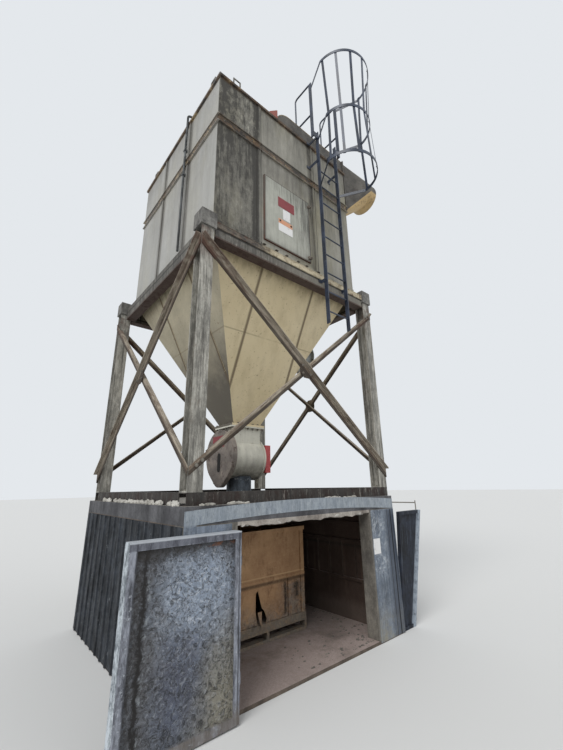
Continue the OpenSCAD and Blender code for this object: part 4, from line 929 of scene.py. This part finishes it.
def make_frame_bolts():
    """Bolts of the leg feet, the brace crossings and the brace ends."""
    kit = Kit()
    low, high = span("leg_rear_right")
    leg_x, leg_y, foot_z = (low[0] + high[0]) / 2, (low[1] + high[1]) / 2, low[2] + 0.014
    for s, t in CORNERS:
        for dx in (-0.052, 0.052):
            kit.bolt((s * leg_x + dx, t * leg_y, foot_z), (0, 0, 1), 0.011)
    behind, crossing_z = 0.042, 3.055
    front_y = span("rear_brace_a")[1][1] - behind
    side_x = span("right_brace_a")[1][0] - behind
    for dx, dz in ((-0.06, 0.05), (0.06, 0.05), (-0.06, -0.05), (0.06, -0.05)):
        for s in (-1, 1):
            kit.bolt((dx, s * front_y, crossing_z + dz), (0, s, 0), 0.012)
            kit.bolt((s * side_x, dx, crossing_z + dz), (s, 0, 0), 0.012)
    end_x, end_y, low_end, high_end, slope = 1.405, front_y - 0.008, 1.898, 4.212, 0.84
    for s, t in CORNERS:
        for d in (0, 0.055):
            z = low_end + d * slope if s * t > 0 else high_end - d * slope
            kit.bolt((s * (end_x - d), t * end_y, z), (0, t, 0), 0.012)
    kit.piece("frame_bolts", "bolt")


def make_cage_bolts():
    """Bolts where the bars meet the hoops, and where the brackets meet the ladder."""
    kit = Kit()
    low, high = span("ladder")
    ladder_x, cage_y, bar = (low[0] + high[0]) / 2, -1.877, 0.0166
    for hoop in ("cage_top_hoop", "cage_middle_hoop", "cage_bottom_hoop"):
        low, high = span(hoop)
        radius, z = (high[0] - low[0]) / 2, (low[2] + high[2]) / 2
        for angle in steps(185, 355, 7):
            out = Vector((math.cos(math.radians(angle)), math.sin(math.radians(angle)), 0))
            kit.bolt(Vector((ladder_x, cage_y, z)) + out * (radius - bar), -out, 0.007)
    for s in (-1, 1):
        for z in (ring_top - 0.100, ring_top + 2.055, ring_top + 2.534):
            kit.bolt((ladder_x + s * 0.2234, -1.505, z), (s, 0, 0), 0.009)
    kit.piece("cage_bolts", "navy")


def make_duct_bolts():
    """Bolts of the outlet's rectangular flange and of the inlet's round one."""
    kit = Kit()
    low, high = span("outlet_transition")
    rim = 0.015
    for y, z in rim_spots(-hy + rim, high[1] - rim, 7, low[2] + rim, high[2] - rim, 12):
        kit.bolt((low[0] + 0.020, y, z), (1, 0, 0), 0.007)
    inlet_y, inlet_z = -0.045, 3.880
    kit.ring((span("inlet_stub")[1][0] - 0.016, inlet_y, inlet_z), (-1, 0, 0), 0.252, 12, 0.009)
    kit.piece("duct_bolts", "bolt")


def make_ledge():
    """The ledge along the top of the front ring beam: a bar with a rolled edge, between the leg caps."""
    kit = Kit()
    low, high = span("ring_front")
    face, top = low[1], high[2]
    profile = [(face - 0.0005, top - 0.070), (face - 0.010, top - 0.070), (face - 0.013, top - 0.066),
               (face - 0.013, top - 0.006), (face - 0.018, top - 0.001), (face - 0.018, top + 0.004),
               (face - 0.013, top + 0.008), (face - 0.0005, top + 0.008)]
    kit.run(profile, steps(low[0] + 0.004, high[0] - 0.004, 40), 0.0012)
    kit.piece("ring_ledge", "ledge")


def make_inner_braces():
    """The inner braces as slimmer angles, seated a little below their CAD solids' middle lines."""
    wide, out, thick, lower, at_leg, cad_wide = 0.062, 0.048, 0.008, 0.012, 0.172, 0.095
    for name, along, sign in (("front_brace_b", 0, -1), ("rear_brace_b", 0, 1),
                              ("left_brace_b", 1, -1), ("right_brace_b", 1, 1)):
        low, high = span(name)
        face = low[1 - along] if sign < 0 else high[1 - along]
        start, end = low[along], high[along]
        tall = high[2] - low[2]
        slope = math.atan2(tall - 0.12, end - start)
        half = cad_wide / 2 / math.cos(slope)
        rise = wide / 2 / math.cos(slope)
        clear = at_leg + 0.005
        places = steps(start, start + at_leg, 3) + steps(start + clear, end - clear, 24)
        places += steps(end - at_leg, end, 3)
        rows = []
        kit = Kit()
        for place in places:
            z = low[2] + half - lower + (tall - 2 * half) * (place - start) / (end - start)
            z += 0.002 * noise.noise(Vector((place * 5, along * 7.0, sign * 3.0)))
            deep = out if start + at_leg < place < end - at_leg else thick + 0.0005
            section = ((0, -rise), (0, rise), (deep, rise), (deep, rise - thick), (thick, rise - thick),
                       (thick, -rise))
            if along == 0:
                rows.append(kit.points((place, face - sign * d, z + up) for d, up in section))
            else:
                rows.append(kit.points((face - sign * d, place, z + up) for d, up in section))
        kit.skin(rows)
        kit.piece(name + "_angle", name, replaces=name)


def make_door_clips():
    """Clips with their bolts along the skirt under the access door, and the latches on its right."""
    kit = Kit()
    low, high = span("access_door")
    skirt, clip_z, half, out, thick = -hy - 0.014, ring_top + 0.122, 0.022, 0.030, 0.008
    for x in (-0.551, -0.343, -0.167, 0.048, 0.209, 0.447):
        kit.prism([(x - half, skirt - out), (x + half, skirt - out), (x + half, skirt), (x - half, skirt)],
                  clip_z, clip_z + thick)
        kit.bolt((x, skirt - 0.017, clip_z + thick), (0, 0, 1), 0.008)
        kit.bolt((x, skirt, clip_z - 0.022), (0, -1, 0), 0.008)
    face, half = low[1], 0.020
    for x, z in ((high[0] - 0.023, high[2] - 0.091), (high[0] - 0.051, low[2] + 0.057)):
        kit.prism([(x - 0.012, face - 0.030), (x + 0.045, face - 0.030), (x + 0.045, face - 0.016),
                   (x + 0.006, face), (x - 0.012, face)], z - half, z + half)
        kit.rod((x + 0.030, face - 0.050, z), (x + 0.030, face - 0.014, z), 0.010)
    kit.piece("door_clips", "bolt")


def make_signs():
    """The bare signs on the access door, and the notice plate on the right jamb."""
    face, thick = span("access_door")[0][1] - 0.0005, 0.0025
    for name, look, x0, x1, z0, z1 in (("sign_header", "maroon", -0.302, 0.0, 5.433, 5.597),
                                       ("sign_middle", "white", -0.215, -0.083, 5.252, 5.425),
                                       ("sign_lower", "white", -0.300, -0.044, 5.030, 5.155),
                                       ("sign_lower_band", "amber", -0.300, -0.044, 5.157, 5.230)):
        kit = Kit()
        kit.plate((x0, face, z0), (1, 0, 0), (0, 0, 1), x1 - x0, z1 - z0, thick, 0.008)
        kit.piece(name, look)
    kit = Kit()
    spot_z = 5.200
    for x in (-0.270, -0.070):
        kit.rod((x, face - thick, spot_z), (x, face - 0.006, spot_z), 0.015, 20)
    kit.piece("sign_spots", "dark")
    kit = Kit()
    sheet_y = span("jamb_sheet")[0][1] + thick
    kit.plate((0.962, sheet_y, 0.905), (1, 0, 0), (0, 0, 1), 0.130, 0.170, thick, 0.006)
    kit.piece("notice_plate", "white")


def make_guard_details():
    """The drive guard's bare label, its slot as a dark plate of painted shade, and its bolts."""
    face = span("chain_guard")[0][0]
    # The slot is a near-black plate: painted shade for the slot's shaded inside.
    for name, look, slot, place, size in (
            ("guard_label", "maroon", "red_paint", (0.126, 2.231), (0.303, 0.154, 0.0025, 0.010)),
            ("guard_slot", "dark", "cream_paint", (-0.010, 1.90), (0.075, 0.25, 0.003, 0.035))):
        kit = Kit()
        kit.plate((face - 0.0005, *place), (0, -1, 0), (0, 0, 1), *size)
        kit.piece(name, look)
    kit = Kit()
    for y, z in ((-0.30, 2.32), (0.21, 2.32), (-0.045, 2.445), (-0.34, 2.10), (0.25, 2.10),
                 (-0.15, 1.76), (0.06, 1.76)):
        kit.bolt((face, y, z), (-1, 0, 0), 0.009)
    kit.piece("guard_bolts", "bolt")


def make_deck_crumbs():
    """Broken concrete along the deck's left and front edges."""
    kit = Kit()
    low, high = span("deck_slab")
    top, left_count, front_count = high[2], 70, 34
    for i in range(left_count):
        y = random.uniform(low[1] + 0.15, 0.9)
        size = random.uniform(0.012, 0.030)
        x = low[0] + 0.024 + random.uniform(-0.006, 0.010)
        kit.ball((x, y, top + size * 0.5), (size * 0.8, size * 1.8, size), i)
    for i in range(front_count):
        x = random.choice((random.uniform(-1.35, -0.85), random.uniform(0.2, 0.7)))
        size = random.uniform(0.009, 0.022)
        y = low[1] + 0.028 + random.uniform(-0.01, 0.02)
        kit.ball((x, y, top + size * 0.4), (size * 1.9, size, size * 0.8), i + 80)
    kit.piece("deck_crumbs", "rubble")


def make_lintel_crumbs():
    """Broken concrete that hangs under the lintel."""
    kit = Kit()
    low, high = span("lintel")
    for i in range(110):
        x = random.uniform(low[0] + 0.02, high[0] - 0.02)
        size = random.uniform(0.010, 0.026)
        kit.ball((x, low[1] + random.uniform(0.012, 0.10), 1.378 + random.uniform(-0.006, 0.012)),
                 (size * 1.7, size * 0.9, size * 0.75), i + 140)
    kit.piece("lintel_crumbs", "rubble")


def make_floor_crumbs():
    """Crumbs on the room's floor, thickest along the right wall and behind the doorway."""
    kit = Kit()
    floor = span("floor_slab")[1][2]
    wall_x = span("right_wall")[0][0]
    for i in range(260):
        size = 0.003 + 0.009 * random.random() ** 3
        if i % 2:
            x, y = wall_x - 0.02 - 0.30 * random.random() ** 2, random.uniform(-1.30, 0.9)
        else:
            x, y = 0.90 - 1.1 * random.random() ** 2, -1.44 + 0.55 * random.random() ** 2
        kit.ball((x, y, floor + size * 0.3), (size * 1.5, size * 1.1, size * 0.7), i + 260)
    kit.piece("floor_crumbs", "concrete")


def make_hood_seams():
    """Standing seams over the roof hood."""
    kit = Kit()
    low, high = span("roof_hood")
    r, inset = high[2] - low[2], 0.004
    for y in (low[1] + inset, (low[1] + high[1]) / 2, high[1] - inset):
        points = [(low[0] + r - r * math.cos(a), y, low[2] + r * math.sin(a))
                  for a in steps(0.03, math.pi / 2, 14)]
        points.append((high[0] - inset, y, high[2]))
        for a, b in zip(points, points[1:]):
            kit.rod(a, b, 0.006, 8)
    kit.piece("hood_seams", "hood")


def make_bin_flaps():
    """The bent flaps of the dust bin's tear."""
    kit = Kit()
    face = span("dust_bin")[0][1] + 0.014
    for x, z, width, height, lean in ((-0.105, 0.345, 0.060, 0.16, 0.055),
                                      (-0.010, 0.225, 0.050, 0.13, 0.035)):
        kit.flap((x, face, z), width, height, lean)
    kit.piece("bin_flaps", "tan")


make_camera()
make_stage()
make_world()
make_suns()
dress_nodes()
make_band_bolts()
make_airlock_bolts()
make_frame_bolts()
make_cage_bolts()
make_duct_bolts()
make_ledge()
make_inner_braces()
make_door_clips()
make_signs()
make_guard_details()
random.seed(11)
make_deck_crumbs()
make_lintel_crumbs()
make_floor_crumbs()
make_hood_seams()
make_bin_flaps()
